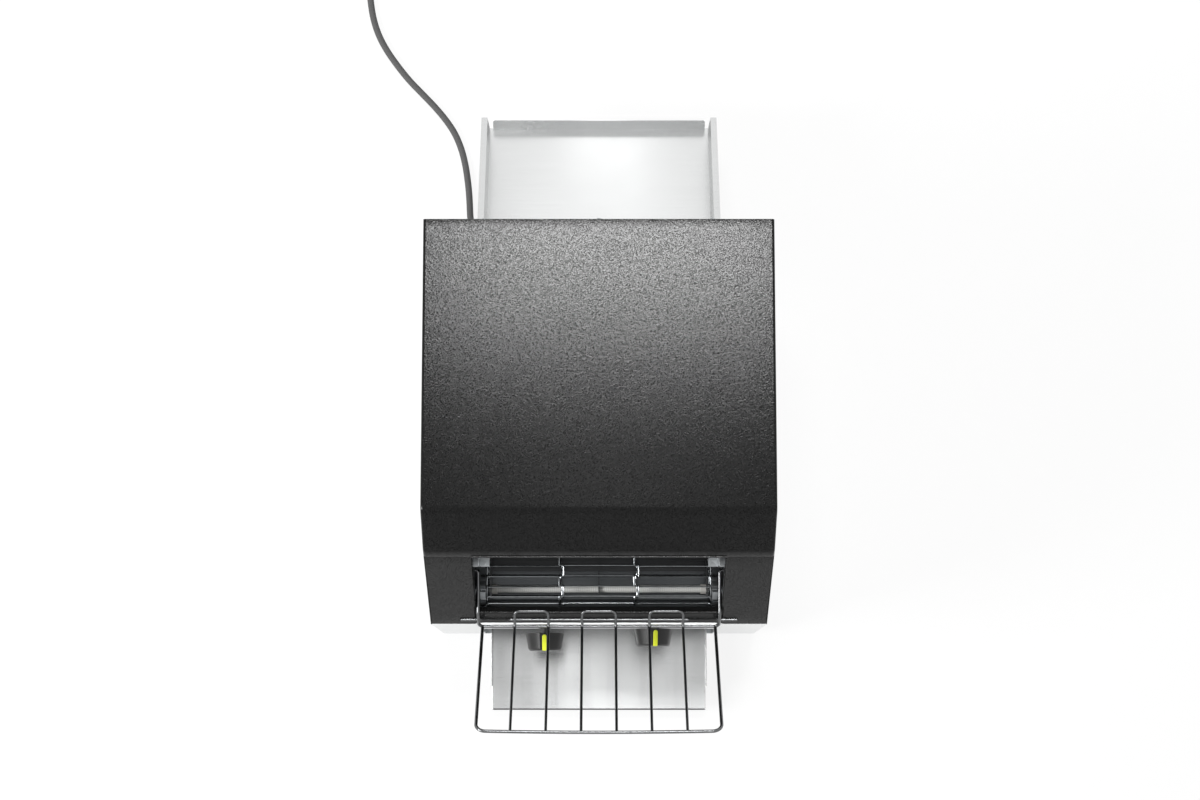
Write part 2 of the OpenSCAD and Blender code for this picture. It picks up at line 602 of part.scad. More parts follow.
module gearmotor() color("#7c8084") in_frame() at_pinion() difference() {
    union() {
        translate([0, 0, 6 - bracket_half + motor_dia / 2]) {
            disc_x(motor_x, motor_len * 0.55, motor_dia, 0, 0);
            disc_x(motor_x + motor_len * 0.55, motor_len * 0.45, motor_dia * 0.72, 0, 0);
        }
        disc_x(motor_x, 8.5, output_dia + 8, 0, 0);
    }
    disc_x(motor_x - 1, 9, output_dia + 2 * run, 0, 0);
}

// ---------- heaters ----------
upper_z = belt_z + upper_gap;
upper_ys = [for (i = [0:2]) 96 + i * upper_pitch];
lower_z = axle_z - 3;
lower_ys = [for (i = [0:2]) axle_y + 2 + i * lower_pitch];
module tubes(ys, z, x) for (y = ys) disc_x(-x, 2 * x, tube_dia, y, z);
module tube_caps(ys, z, x) for (y = ys) both_sides() difference() {
    disc_x(x - cap_len, cap_len, tube_dia + 3, y, z);
    disc_x(x - cap_len - 1, cap_len + 2, tube_dia + 2 * run, y, z);
}
lower_flange_x = edge_x - 4;
module lower_heater_tray() color("#a6a9ab") in_frame() {
    tray_bottom = axle_z - sprocket_r + belt_wire / 2 + 3;
    tray_back = shaft_y - sprocket_r - shaft_dia / 2;
    top = lower_z + tube_dia / 2 + 2.5;
    translate([-lower_flange_x, axle_y + 22, tray_bottom]) cube([2 * lower_flange_x, tray_back - axle_y - 22, sheet]);
    for (y = [110, 250]) translate([-wall_x, y, tray_bottom]) cube([chamber_w, 18, sheet]);
    difference() {
        for (x = [-lower_flange_x, -sheet / 2, lower_flange_x - sheet]) from_x(x, sheet) polygon([
            [axle_y - 6, lower_z - tube_dia / 2 - 2], [axle_y + 22, lower_z - tube_dia / 2 - 2],
            [axle_y + 22, tray_bottom], [tray_back, tray_bottom], [tray_back, top], [axle_y - 6, top]]);
        tubes_clear(lower_ys, lower_z, wall_x);
    }
}
module tubes_clear(ys, z, x) for (y = ys) disc_x(-x, 2 * x, tube_dia + 2 * run, y, z);
module lower_heaters() color("#e8e4dc") in_frame() tubes(lower_ys, lower_z, lower_flange_x + 1);
module lower_heater_caps() color("#f0ece2") in_frame() tube_caps(lower_ys, lower_z, lower_flange_x - sheet - touch);

reflector_z = upper_z + 17;
bracket_x = 117;
module upper_reflector() color("#b4b7b9") in_frame() across(2 * (wall_x - touch)) polygon(band([
    [upper_ys[0] - 24, reflector_z - 9], [upper_ys[0] - 16, reflector_z], [upper_ys[2] + 30, reflector_z],
    [upper_ys[2] + 38, reflector_z - 9]], sheet));
// Galvanised end brackets, one run down each side, hung under the reflector
module upper_heater_brackets() color("#c2c4c5") in_frame() both_sides() difference() {
    low = upper_z - tube_dia / 2 - 4;
    back = upper_ys[2] + 12;
    union() {
        translate([bracket_x, 57.6, low]) cube([wall_x - bracket_x - 6.5, 24, sheet]);
        translate([wall_x - 5, 57.6, low - 3]) cube([5, 24, sheet]);
        translate([wall_x - 6.5 - sheet, 57.6, low]) cube([sheet, back - 57.6, upper_z - low + tube_dia]);
        translate([wall_x - 6.5 - sheet, 57.6, low - 3]) cube([sheet + 2, 24, 3]);
        for (y = [110, 210, 290]) translate([wall_x - 6.5 - sheet, y, low]) cube([6.5 + sheet, 14, sheet]);
    }
    tubes_clear(upper_ys, upper_z, wall_x);
}
upper_end_x = wall_x - 6.5 - sheet;
module upper_heaters() color("#e8e4dc") in_frame() tubes(upper_ys, upper_z, upper_end_x + sheet + 2);
module upper_heater_caps() color("#f0ece2") in_frame() tube_caps(upper_ys, upper_z, upper_end_x - touch);

// ---------- controls ----------
module at_knob(side) translate([side * knob_x, 0, knob_z]) rotate([90, 0, 0]) children();
bush_len = 2.2;
spindle_in = 20;
module control_bush(depth) difference() {
    union() {
        translate([0, 0, -sheet - depth]) children();
        translate([0, 0, -sheet - 1]) cylinder(h = sheet + 1 + bush_len, d = bush_hole - 2 * run, $fn = 48);
        cylinder(h = bush_len, d = 14, $fn = 6);
    }
    translate([0, 0, -spindle_in - 1]) cylinder(h = spindle_in + bush_len + 2, d = spindle_dia + 2 * run, $fn = 48);
}
module heat_switch() color("#3a3a3a") in_frame() at_knob(-1) control_bush(40) {
    cylinder(h = 40, d = 36, $fn = 48);
    for (a = [0:60:300]) rotate(a) translate([15, -2, 8]) cube([6, 4, 24]);
}
module speed_control() color("#4a4f55") in_frame() at_knob(1) control_bush(24) {
    cylinder(h = 24, d = 28, $fn = 48);
    for (x = [-7, 0, 7]) translate([x - 1, -20, 8]) cube([2, 10, 1.2]);
}
module spindle(gap) translate([0, 0, -spindle_in]) cylinder(h = spindle_in + gap + knob_len * 0.6, d = spindle_dia, $fn = 32);
module heat_spindle() color("#b8bbbd") in_frame() at_knob(-1) spindle(heat_knob_gap);
module speed_spindle() color("#b8bbbd") in_frame() at_knob(1) spindle(speed_knob_gap);

pointer_w = 5;
pointer_l = 17;
pointer_turn = -7;
// Outline of the pointer insert along the knob, with a round inner end
module pointer_plan(grow) translate([0, knob_len - pointer_l + pointer_w / 2]) {
    circle(d = pointer_w + 2 * grow, $fn = 32);
    translate([-pointer_w / 2 - grow, 0]) square([pointer_w + 2 * grow, pointer_l - pointer_w / 2 + 1]);
}
module knob(gap) translate([0, 0, gap]) difference() {
    flats = 12;
    rotate(180 / flats) union() {
        cylinder(h = knob_len - 1.5, d1 = knob_dia / cos(180 / flats), d2 = knob_front_dia / cos(180 / flats), $fn = flats);
        translate([0, 0, knob_len - 1.5]) cylinder(h = 1.5, d1 = knob_front_dia / cos(180 / flats),
            d2 = (knob_front_dia - 3) / cos(180 / flats), $fn = flats);
    }
    translate([0, 0, -1]) cylinder(h = knob_len * 0.6 + 1.2, d = spindle_dia + 2 * run, $fn = 32);
    translate([0, 0, -1]) difference() {
        cylinder(h = knob_len * 0.45, d = knob_front_dia - 4, $fn = 48);
        cylinder(h = knob_len, d = spindle_dia + 6, $fn = 32);
    }
    translate([0, knob_front_dia / 2 - 2.5, 0]) rotate([90, 0, 0]) mirror([0, 0, 1]) linear_extrude(9) pointer_plan(run);
}
module pointer(gap) translate([0, knob_front_dia / 2 - 2.5 + run, gap]) intersection() {
    rotate([90, 0, 0]) mirror([0, 0, 1]) linear_extrude(9) pointer_plan(0);
    from_x(-10, 20) polygon([[0, -1], [0, knob_len + 0.8], [2.6, knob_len + 0.8], [3.3, knob_len],
        [3.3 + (knob_dia - knob_front_dia) / 2, -1]]);
}
module heat_knob() color("#1c1c1c") in_frame() at_knob(-1) knob(heat_knob_gap);
module speed_knob() color("#1c1c1c") in_frame() at_knob(1) rotate(pointer_turn) knob(speed_knob_gap);
module heat_pointer() color("#cdea2c") in_frame() at_knob(-1) pointer(heat_knob_gap);
module speed_pointer() color("#cdea2c") in_frame() at_knob(1) rotate(pointer_turn) pointer(speed_knob_gap);

// ---------- electrics ----------
fan_size = 80;
fan_t = 22;
fan_y = 150;
fan_z = 78;
fan_x = half_w - sheet - louvre_in - 2 - fan_t;
pin_dia = 3;
module at_fan() translate([fan_x, fan_y, fan_z]) children();
module fan_frame() color("#262626") in_frame() at_fan() difference() {
    union() {
        difference() {
            from_x(0, fan_t) translate([-fan_size / 2, -fan_size / 2]) square(fan_size);
            disc_x(-1, fan_t + 2, fan_size - 5, 0, 0);
        }
        for (a = [45:90:315]) rotate([a, 0, 0]) translate([0, 0, -2]) cube([2, fan_size / 2 - 1, 4]);
        disc_x(0, 2, 28, 0, 0);
        disc_x(0, fan_t - 4, pin_dia, 0, 0);
        for (y = [-1, 1], z = [-1, 1]) disc_x(-(fan_x - wall_x - sheet), fan_x - wall_x - sheet, 8,
            y * (fan_size / 2 - 5), z * (fan_size / 2 - 5));
    }
    for (y = [-1, 1], z = [-1, 1]) disc_x(fan_t - 10, 12, 4, y * (fan_size / 2 - 4.5), z * (fan_size / 2 - 4.5));
}
module fan_rotor() color("#1e1e1e") in_frame() at_fan() difference() {
    union() {
        disc_x(3, fan_t - 5, 27, 0, 0);
        for (i = [0:6]) rotate([i * 360 / 7, 0, 0]) translate([3 + (fan_t - 5) / 2, 12, 0]) rotate([0, 40, 0])
            translate([-9, 0, -0.8]) cube([18, fan_size / 2 - 16, 1.6]);
    }
    disc_x(2, fan_t - 5.5, pin_dia + 2 * run, 0, 0);
}
module terminal_block() color("#d9d4c4") in_frame() difference() {
    translate([-half_w + 14, body_d - 130, pan_z]) cube([20, 62, 22]);
    for (i = [0:4]) translate([-half_w + 24, body_d - 124 + i * 12 + 1, pan_z + 8]) {
        cylinder(h = 20, d = 5, $fn = 24);
        translate([-12, -2, -2]) cube([24, 4, 5]);
    }
}
module thermal_cutout() color("#54504a") in_frame() translate([-wall_x - sheet, 210, wall_top - 58]) mirror([1, 0, 0]) {
    disc_x(0, 9, 16, 0, 0);
    translate([9, -5, -0.8]) cube([8, 3, 1.6]);
    translate([9, 2, -0.8]) cube([8, 3, 1.6]);
    translate([0, -12, -4]) cube([1, 24, 8]);
}

// ---------- cord ----------
gland_dia = 16;
gland_out = 24;
module cable_gland() color("#202020") in_frame() translate([-cord_exit_x, back_y, cord_exit_z]) rotate([-90, 0, 0])
    rotate_extrude($fn = 64) polygon([[cord_dia / 2, -6], [gland_dia / 2 - 0.1, -6], [gland_dia / 2 - 0.1, sheet],
        [gland_dia / 2 + 3, sheet], [gland_dia / 2 + 3, sheet + 4], [gland_dia / 2, sheet + 5],
        [cord_dia / 2 + 1.4, sheet + gland_out], [cord_dia / 2, sheet + gland_out]]);
cord_z = cord_dia / 2;
// Route of the cord: x, y behind the front face, z
cord_route = [[-155, 440, 58], [-155, 446, 58], [-155, 455, 57], [-155, 463, 54.5], [-155, 471, 50], [-155, 478, 45],
    [-155.5, 483, 38.5], [-155.5, 487.5, 31], [-156, 492, 23.5], [-156.5, 498, 16.5], [-157, 505, 11],
    [-158, 512, 7], [-158.5, 520, 5], [-159, 529, 4], [-160, 543, 4], [-162, 560, 4], [-165, 578, 4], [-170, 597, 4],
    [-178, 616, 4], [-189, 633, 4], [-203, 650, 4], [-219, 667, 4], [-235, 684, 4], [-250, 703, 4], [-263, 722, 4],
    [-273, 741, 4], [-280, 762, 4], [-284, 785, 4], [-286, 810, 4], [-286, 835, 4]];
// The last stretch, from the coil to the plug
tail_route = [[-215, 908, 12], [-200, 908, 12.5], [-185, 908, 14], [-170, 908, 17], [-155, 908, 18.5], [-142, 908, 18.5]];
coil_c = [-234, 856];
coil_mid_r = 48;
tube_sides = 8;
function tube_points(path, r) = let(last = len(path) - 1) [for (i = [0:last]) let(
    t = unit(path[min(i + 1, last)] - path[max(i - 1, 0)]),
    side = unit(cross(t, [0, 0, 1])), up = cross(side, t))
    for (k = [0:tube_sides - 1]) let(a = (k + 0.5) * 360 / tube_sides)
        path[i] + r * (cos(a) * side + sin(a) * up)];
function ring_face(first) = [for (k = [0:tube_sides - 1]) first + k];
module cord_tube(path, r) {
    n = tube_sides;
    last = len(path) - 1;
    polyhedron(tube_points(path, r), concat(
        [ring_face(0)],
        [for (i = [0:last - 1], k = [0:n - 1]) let(a = i * n + k, b = i * n + (k + 1) % n) [a, a + n, b + n, b]],
        [reversed(ring_face(last * n))]));
}
module power_cord() color("#141414") in_frame() {
    cord_tube(cord_route, cord_dia / 2);
    cord_tube(tail_route, cord_dia / 2);
}
// Two turns wide and two turns high
module cord_coil() color("#141414") in_frame() translate([coil_c[0], coil_c[1], 0]) rotate_extrude($fn = 72)
    translate([coil_mid_r - cord_dia, 0]) square(2 * cord_dia);

plug_dia = 37;
plug_len = 38;
plug_sleeve = 30;
// Round two-pin earthed mains plug with a tapered sleeve
module power_plug() color("#161616") in_frame() translate(tail_route[len(tail_route) - 1]) rotate([0, 90, 0]) {
    difference() {
        rotate_extrude($fn = 64) polygon([[0, 0], [cord_dia / 2 + 1, 0], [cord_dia / 2 + 2.5, plug_sleeve],
            [plug_dia / 2 - 6, plug_sleeve + 8], [plug_dia / 2 - 1, plug_sleeve + 14],
            [plug_dia / 2, plug_sleeve + 18], [plug_dia / 2, plug_sleeve + plug_len], [0, plug_sleeve + plug_len]]);
        for (s = [-1, 1]) translate([s * plug_dia / 2 - 3, -4, plug_sleeve + plug_len - 16]) cube([6, 8, 17]);
    }
    for (s = [-1, 1]) translate([0, s * 9.5, plug_sleeve + plug_len]) {
        cylinder(h = 17, d = 4.8, $fn = 32);
        translate([0, 0, 17]) cylinder(h = 2, d1 = 4.8, d2 = 2.8, $fn = 32);
    }
}

// Pan heads along the edges of the rear panel and along the cover's rear flange
module rear_screws() color("#8d8f91") in_frame() {
    spots = concat([for (x = [-120, 0, 120]) [x, body_h - flange / 2]],
        [for (s = [-1, 1], z = [pan_z + 20, 110, 200, body_h - 67]) [s * (half_w - sheet - flange / 2), z]]);
    for (p = spots) translate([p[0], body_d, p[1]]) rotate([-90, 0, 0])
        rotate_extrude($fn = 32) polygon([[0, 0], [3.5, 0], [3.5, 0.9], [2.6, 1.9], [1.2, 2.3], [0, 2.3]]);
}

top_cover();
front_bezel();
left_side_panel();
right_side_panel();
rear_panel();
base_pan();
feet();
left_chamber_wall();
right_chamber_wall();
control_panel();
control_box();
inner_slide();
tray_runners();
chute_rod();
front_tray();
rear_chute();
feed_rack();
belt();
drive_shaft();
drive_sprockets();
shaft_gear();
shaft_bushes();
front_axles();
left_front_sprocket();
right_front_sprocket();
motor_bracket();
gearmotor();
motor_pinion();
upper_reflector();
upper_heater_brackets();
upper_heaters();
upper_heater_caps();
lower_heater_tray();
lower_heaters();
lower_heater_caps();
heat_switch();
speed_control();
heat_spindle();
speed_spindle();
heat_knob();
speed_knob();
heat_pointer();
speed_pointer();
fan_frame();
fan_rotor();
terminal_block();
thermal_cutout();
cable_gland();
power_cord();
cord_coil();
power_plug();
rear_screws();
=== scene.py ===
"""Conveyor toaster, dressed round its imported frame.

Sizes are in millimetres, with y measured back from the lower front face of the cabinet.
place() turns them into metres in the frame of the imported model.
"""

import logging
import math
from collections.abc import Iterator
from contextlib import contextmanager
from dataclasses import dataclass
from enum import Enum
from typing import Any

import bmesh
import bpy
import numpy as np
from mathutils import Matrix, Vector


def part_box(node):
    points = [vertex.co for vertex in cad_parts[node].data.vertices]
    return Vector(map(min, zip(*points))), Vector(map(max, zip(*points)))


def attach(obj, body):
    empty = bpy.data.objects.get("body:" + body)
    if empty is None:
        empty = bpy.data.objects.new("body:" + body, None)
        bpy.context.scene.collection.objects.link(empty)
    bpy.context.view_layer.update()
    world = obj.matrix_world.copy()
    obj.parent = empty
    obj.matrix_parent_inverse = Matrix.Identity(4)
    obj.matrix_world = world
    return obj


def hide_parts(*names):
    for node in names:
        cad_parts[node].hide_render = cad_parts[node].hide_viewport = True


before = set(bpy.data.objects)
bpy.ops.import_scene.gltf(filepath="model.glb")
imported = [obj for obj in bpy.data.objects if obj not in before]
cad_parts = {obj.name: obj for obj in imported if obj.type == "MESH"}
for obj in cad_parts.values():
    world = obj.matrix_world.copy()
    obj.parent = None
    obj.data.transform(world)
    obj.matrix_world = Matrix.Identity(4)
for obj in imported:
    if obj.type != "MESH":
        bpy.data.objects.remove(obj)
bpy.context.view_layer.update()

log = logging.getLogger("conveyor_toaster")
Array = np.ndarray
Object, Node, Socket, Tree = bpy.types.Object, bpy.types.Node, bpy.types.NodeSocket, bpy.types.NodeTree
Point = tuple[float, float, float]
Inputs = dict[Any, Any] | None
MM = 0.001
SHARP_DEG = 35
FRONT_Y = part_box("left_side_panel")[0].y / MM


# ----- shapes -----
def place(points: Array) -> Array:
    """Moves points from the cabinet's own measure to the model's frame.

    Args:
        points: millimetres, with y counted from the lower front face.

    Returns:
        The same points in metres: (x, y + FRONT_Y, z) / 1000.
    """
    moved = np.array(points, float)
    moved[..., 1] += FRONT_Y
    return moved * MM


def unit(vectors: Array) -> Array:
    """Vectors divided by their own length."""
    return vectors / np.linalg.norm(vectors, axis=-1, keepdims=True)


@dataclass
class Patch:
    """A grid of points that becomes quads.

    points is (rows, columns, 3), or (copies, rows, columns, 3) for a repeated shape. ring joins the last
    column to the first, and caps closes the first and last rows.
    """

    points: Array
    ring: bool = False
    caps: bool = False

    def faces(self, first: int) -> list[Array]:
        """Corner numbers of the patch's faces.

        Args:
            first: number of the patch's first point in the whole mesh.

        Returns:
            One array per face size, a face in each row: corners (r, c), (r, c+1), (r+1, c+1), (r+1, c).
        """
        rows, columns = self.points.shape[-3:-1]
        number = np.arange(rows * columns).reshape(rows, columns)
        start = first + np.arange(self.points.size // (3 * rows * columns)) * rows * columns
        ends = np.stack([number[0, ::-1], number[-1]])
        if self.ring:
            number = np.concatenate([number, number[:, :1]], axis=1)
        quads = np.stack([number[:-1, :-1], number[:-1, 1:], number[1:, 1:], number[1:, :-1]], axis=-1)
        found = [(start[:, None, None] + quads.reshape(-1, 4)).reshape(-1, 4)]
        if self.caps:
            found.append((start[:, None, None] + ends).reshape(-1, columns))
        return found


def make_object(name: str, patches: list[Patch], smooth: bool = True, turn_out: bool = True) -> Object:
    """Makes a mesh object from patches.

    Args:
        name: name of the object and its mesh.
        patches: grids in the cabinet's own measure.
        smooth: whether faces are shaded smooth, with edges over SHARP_DEG kept sharp.
        turn_out: whether the faces of each closed shell are turned outwards.

    Returns:
        The new object, at the origin, with its place in its mesh.
    """
    points = np.concatenate([patch.points.reshape(-1, 3) for patch in patches])
    faces: list[Array] = []
    first = 0
    for patch in patches:
        faces += patch.faces(first)
        first += patch.points.size // 3
    corners = np.concatenate([part.ravel() for part in faces])
    totals = np.concatenate([np.full(len(part), part.shape[1]) for part in faces])
    mesh = bpy.data.meshes.new(name)
    mesh.vertices.add(len(points))
    mesh.vertices.foreach_set("co", place(points).ravel())
    mesh.loops.add(len(corners))
    mesh.loops.foreach_set("vertex_index", corners)
    mesh.polygons.add(len(totals))
    mesh.polygons.foreach_set("loop_start", np.concatenate([[0], np.cumsum(totals)[:-1]]))
    mesh.polygons.foreach_set("loop_total", totals)
    mesh.update(calc_edges=True)
    mesh.validate()
    if turn_out:
        with edited(mesh) as work:
            bmesh.ops.recalc_face_normals(work, faces=work.faces)
    if smooth:
        shade_smooth(mesh)
    return link(name, mesh)


def link(name: str, mesh: bpy.types.Mesh) -> Object:
    """Puts a mesh into the scene as an object of that name."""
    made = bpy.data.objects.new(name, mesh)
    bpy.context.scene.collection.objects.link(made)
    return made


@contextmanager
def edited(mesh: bpy.types.Mesh) -> Iterator[bmesh.types.BMesh]:
    """Opens a mesh for editing and writes it back."""
    work = bmesh.new()
    work.from_mesh(mesh)
    yield work
    work.to_mesh(mesh)
    work.free()


def shade_smooth(mesh: bpy.types.Mesh) -> None:
    """Shades a mesh smooth, with edges over SHARP_DEG kept sharp."""
    mesh.shade_smooth()
    mesh.set_sharp_from_angle(angle=math.radians(SHARP_DEG))


def rounded(path: Array, radius: float | list[float], steps: int) -> Array:
    """Rounds the inner corners of a line.

    Args:
        path: corner points.
        radius: bend radius, one for all inner corners or one for each.
        steps: pieces of each bend.

    Returns:
        Points in which each corner is an arc, centre + r (sin a * way in - cos a * way across).
    """
    line = [path[:1]]
    radii = np.broadcast_to(np.asarray(radius, float), len(path) - 2)
    for before, corner, after, bend in zip(path[:-2], path[1:-1], path[2:], radii):
        way_in, way_out = unit(corner - before), unit(after - corner)
        turn = math.acos(float(np.clip(way_in @ way_out, -1, 1)))
        if turn < 0.02:
            line.append(corner[None])
            continue
        room = 0.49 * min(np.linalg.norm(corner - before), np.linalg.norm(after - corner))
        reach = min(bend * math.tan(turn / 2), room)
        r = reach / math.tan(turn / 2)
        across = unit(way_out - (way_out @ way_in) * way_in)
        centre = corner - reach * way_in + r * across
        a = np.linspace(0, turn, steps + 1)[:, None]
        line.append(centre + r * (np.sin(a) * way_in - np.cos(a) * across))
    return np.concatenate([*line, path[-1:]])


def smooth_line(points: Array, per_span: int) -> Array:
    """Passes a smooth curve through points.

    Args:
        points: points on the curve.
        per_span: new points for each span between two points.

    Returns:
        Points on the cubic whose slope at each point is half the step between its two neighbours.
    """
    p = np.concatenate([2 * points[:1] - points[1:2], points, 2 * points[-1:] - points[-2:-1]])
    a, b, c, d = (p[i : len(p) - 3 + i, None] for i in range(4))
    t = (np.arange(per_span) / per_span)[None, :, None]
    curve = 0.5 * (2 * b + (c - a) * t + (2 * a - 5 * b + 4 * c - d) * t**2 + (3 * b - a - 3 * c + d) * t**3)
    return np.concatenate([curve.reshape(-1, 3), points[-1:]])


def wire_rings(path: Array, radius: float | Array, sides: int) -> Array:
    """Rings of a round wire along a line.

    Args:
        path: points of the centre line.
        radius: radius of the wire, one for all rings or one for each.
        sides: points of a ring.

    Returns:
        (rings, sides, 3) points: centre + r (cos a * side + sin a * up). side is carried from ring to ring,
        less its part along the new direction.
    """
    along = unit(np.gradient(path, axis=0))
    side = np.empty_like(along)
    seed = np.eye(3)[int(np.argmin(np.abs(along[0])))]
    for i, way in enumerate(along):
        seed = seed - (seed @ way) * way
        seed = seed / np.linalg.norm(seed)
        side[i] = seed
    up = np.cross(along, side)
    a = 2 * np.pi * np.arange(sides) / sides
    r = np.broadcast_to(np.asarray(radius, float), len(path))[:, None, None]
    return path[:, None] + r * (np.cos(a)[:, None] * side[:, None] + np.sin(a)[:, None] * up[:, None])


def wire(path: Array, radius: float, sides: int) -> Patch:
    """A wire with closed ends, whose last two rings are pulled in for a rounded end."""
    way_in, way_out = unit(path[1] - path[0]), unit(path[-1] - path[-2])
    near_start, near_end = path[:1] + way_in * radius * 0.4, path[-1:] - way_out * radius * 0.4
    line = np.concatenate([path[:1], near_start, path[1:-1], near_end, path[-1:]])
    r = np.full(len(line), float(radius))
    r[[0, -1]] = 0.55 * radius
    return Patch(wire_rings(line, r, sides), ring=True, caps=True)


class Axis(Enum):
    """Direction of brush lines."""

    X = (1.0, 0.0, 0.0)
    Y = (0.0, 1.0, 0.0)
    Z = (0.0, 0.0, 1.0)


def modify(piece: Object, kind: str, **settings: Any) -> None:
    """Adds a modifier with its settings."""
    made = piece.modifiers.new(kind.lower(), kind)
    for key, value in settings.items():
        setattr(made, key, value)


def thicken(piece: Object, thickness: float) -> None:
    """Gives an open sheet its thickness in millimetres, inwards, and flat shading up to its bends."""
    modify(piece, "SOLIDIFY", thickness=thickness * MM, offset=-1, use_even_offset=True)
    modify(piece, "WEIGHTED_NORMAL", weight=100, keep_sharp=True)


def rounded_copy(name: str, node: str, radius: float, segments: int) -> Object:
    """Copies a CAD node's surface and rounds its sharp edges.

    Points 2 micrometres apart are joined, faces within half a degree become one, and edges over 40 degrees
    are rounded.

    Args:
        name: name of the new piece.
        node: the CAD node.
        radius: edge radius in millimetres.
        segments: pieces of each rounding.

    Returns:
        The new piece, which replaces the node.
    """
    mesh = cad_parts[node].data.copy()
    mesh.name = name
    with edited(mesh) as work:
        bmesh.ops.remove_doubles(work, verts=work.verts, dist=2e-6)
        bmesh.ops.dissolve_limit(work, angle_limit=math.radians(0.5), verts=work.verts, edges=work.edges)
    piece = link(name, mesh)
    modify(piece, "BEVEL", width=radius * MM, segments=segments, limit_method="ANGLE",
           angle_limit=math.radians(40), use_clamp_overlap=True, harden_normals=True)
    shade_smooth(mesh)
    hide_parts(node)
    return piece


# ----- finishes -----
def linear(hex_colour: str) -> tuple[float, float, float, float]:
    """Turns an sRGB hex colour into linear red, green, blue and alpha."""
    c = np.array([int(hex_colour[i : i + 2], 16) for i in (1, 3, 5)]) / 255
    r, g, b = np.where(c <= 0.04045, c / 12.92, ((c + 0.055) / 1.055) ** 2.4)
    return float(r), float(g), float(b), 1.0


def add(tree: Tree, kind: str, values: Inputs = None, links: Inputs = None, **settings: Any) -> Node:
    """Adds a shader node.

    Args:
        tree: the material's node tree.
        kind: type of the node.
        values: value of each named or numbered input.
        links: output that feeds each named or numbered input.
        **settings: the node's own properties.

    Returns:
        The new node.
    """
    made = tree.nodes.new(kind)
    for key, value in settings.items():
        setattr(made, key, value)
    for key, value in (values or {}).items():
        made.inputs[key].default_value = value
    for key, output in (links or {}).items():
        tree.links.new(output, made.inputs[key])
    return made


def scaled(tree: Tree, stretch: float | Point) -> dict[str, Socket]:
    """A texture's Vector link: Object coordinates times stretch, in cells per metre."""
    where = add(tree, "ShaderNodeTexCoord").outputs["Object"]
    scale = tuple(float(v) for v in np.broadcast_to(stretch, 3))
    return {"Vector": add(tree, "ShaderNodeMapping", {"Scale": scale}, {"Vector": where}).outputs["Vector"]}


def spread(tree: Tree, source: Socket, low: float, high: float, start: float = 0.3, end: float = 0.7) -> Socket:
    """Maps a pattern's values start..end to low..high."""
    values = {"From Min": start, "From Max": end, "To Min": low, "To Max": high}
    return add(tree, "ShaderNodeMapRange", values, {"Value": source}).outputs["Result"]


def seen_ray(tree: Tree) -> Socket:
    """1 for rays from the eye and for rays that metal and glass send, 0 for the rest."""
    ray = add(tree, "ShaderNodeLightPath").outputs
    total = ray["Is Camera Ray"]
    for other in ("Is Glossy Ray", "Is Transmission Ray"):
        both = {0: total, 1: ray[other]}
        total = add(tree, "ShaderNodeMath", links=both, operation="ADD", use_clamp=True).outputs[0]
    return total


@dataclass(frozen=True)
class Finish:
    """What a surface is made of and how it was made."""

    name: str
    colour: str
    second: str
    roughness: float
    metallic: float = 0.0
    specular: float = 0.5

    def material(self) -> bpy.types.Material:
        """Makes the material once and returns it on every later call."""
        known = bpy.data.materials.get(self.name)
        if known:
            return known
        made = bpy.data.materials.new(self.name)
        made.use_nodes = True
        tree = made.node_tree
        tree.nodes.clear()
        shader = add(tree, "ShaderNodeBsdfPrincipled", {
            "Base Color": linear(self.colour), "Roughness": self.roughness,
            "Metallic": self.metallic, "Specular IOR Level": self.specular,
        })
        add(tree, "ShaderNodeOutputMaterial", links={"Surface": shader.outputs["BSDF"]})
        self.dress(tree, shader)
        return made

    def dress(self, tree: Tree, shader: Node) -> None:
        """Adds the finish's own pattern to the shader."""

    def paint(self, tree: Tree, shader: Node, amount: Socket) -> None:
        """Links the two colours, the second where amount is 1, to the shader's colour."""
        values = {6: linear(self.colour), 7: linear(self.second)}
        mix = add(tree, "ShaderNodeMix", values, {0: amount}, data_type="RGBA")
        tree.links.new(mix.outputs[2], shader.inputs["Base Color"])

    def gloss(self, tree: Tree, shader: Node, pattern: Socket, less: float, more: float, **ends: float) -> None:
        """Links a pattern to the roughness, which runs from less under its own value to more over it."""
        rough = spread(tree, pattern, self.roughness - less, self.roughness + more, **ends)
        tree.links.new(rough, shader.inputs["Roughness"])

    def relief(self, tree: Tree, shader: Node, height: Socket, depth_mm: float, strength: float = 1.0) -> None:
        """Links a height pattern, depth_mm high, to the shader's normal."""
        values = {"Distance": depth_mm * MM, "Strength": strength}
        bump = add(tree, "ShaderNodeBump", values, {"Height": height})
        tree.links.new(bump.outputs["Normal"], shader.inputs["Normal"])


@dataclass(frozen=True)
class PowderCoat(Finish):
    """Textured polyester powder coat: a glossy skin of shallow blobs, which break a reflection into grain."""

    grain_mm: float = 1.4
    relief_mm: float = 0.12

    def dress(self, tree: Tree, shader: Node) -> None:
        """Blobs as noise about grain_mm wide, which set relief, tone and gloss: twice the real width."""
        cells = 1 / (self.grain_mm * MM)
        rough = {"Scale": 1.0, "Detail": 1.5, "Roughness": 0.6}
        blobs = add(tree, "ShaderNodeTexNoise", rough, scaled(tree, cells)).outputs["Fac"]
        finer = add(tree, "ShaderNodeTexNoise", rough | {"Detail": 1.0}, scaled(tree, cells * 1.3))
        specks = finer.outputs["Fac"]
        self.relief(tree, shader, blobs, self.relief_mm)
        self.gloss(tree, shader, specks, 0.05, 0.07)
        glint = spread(tree, specks, self.specular * 1.6, self.specular * 0.4, 0.35, 0.65)
        tree.links.new(glint, shader.inputs["Specular IOR Level"])
        self.paint(tree, shader, spread(tree, blobs, 0, 1))


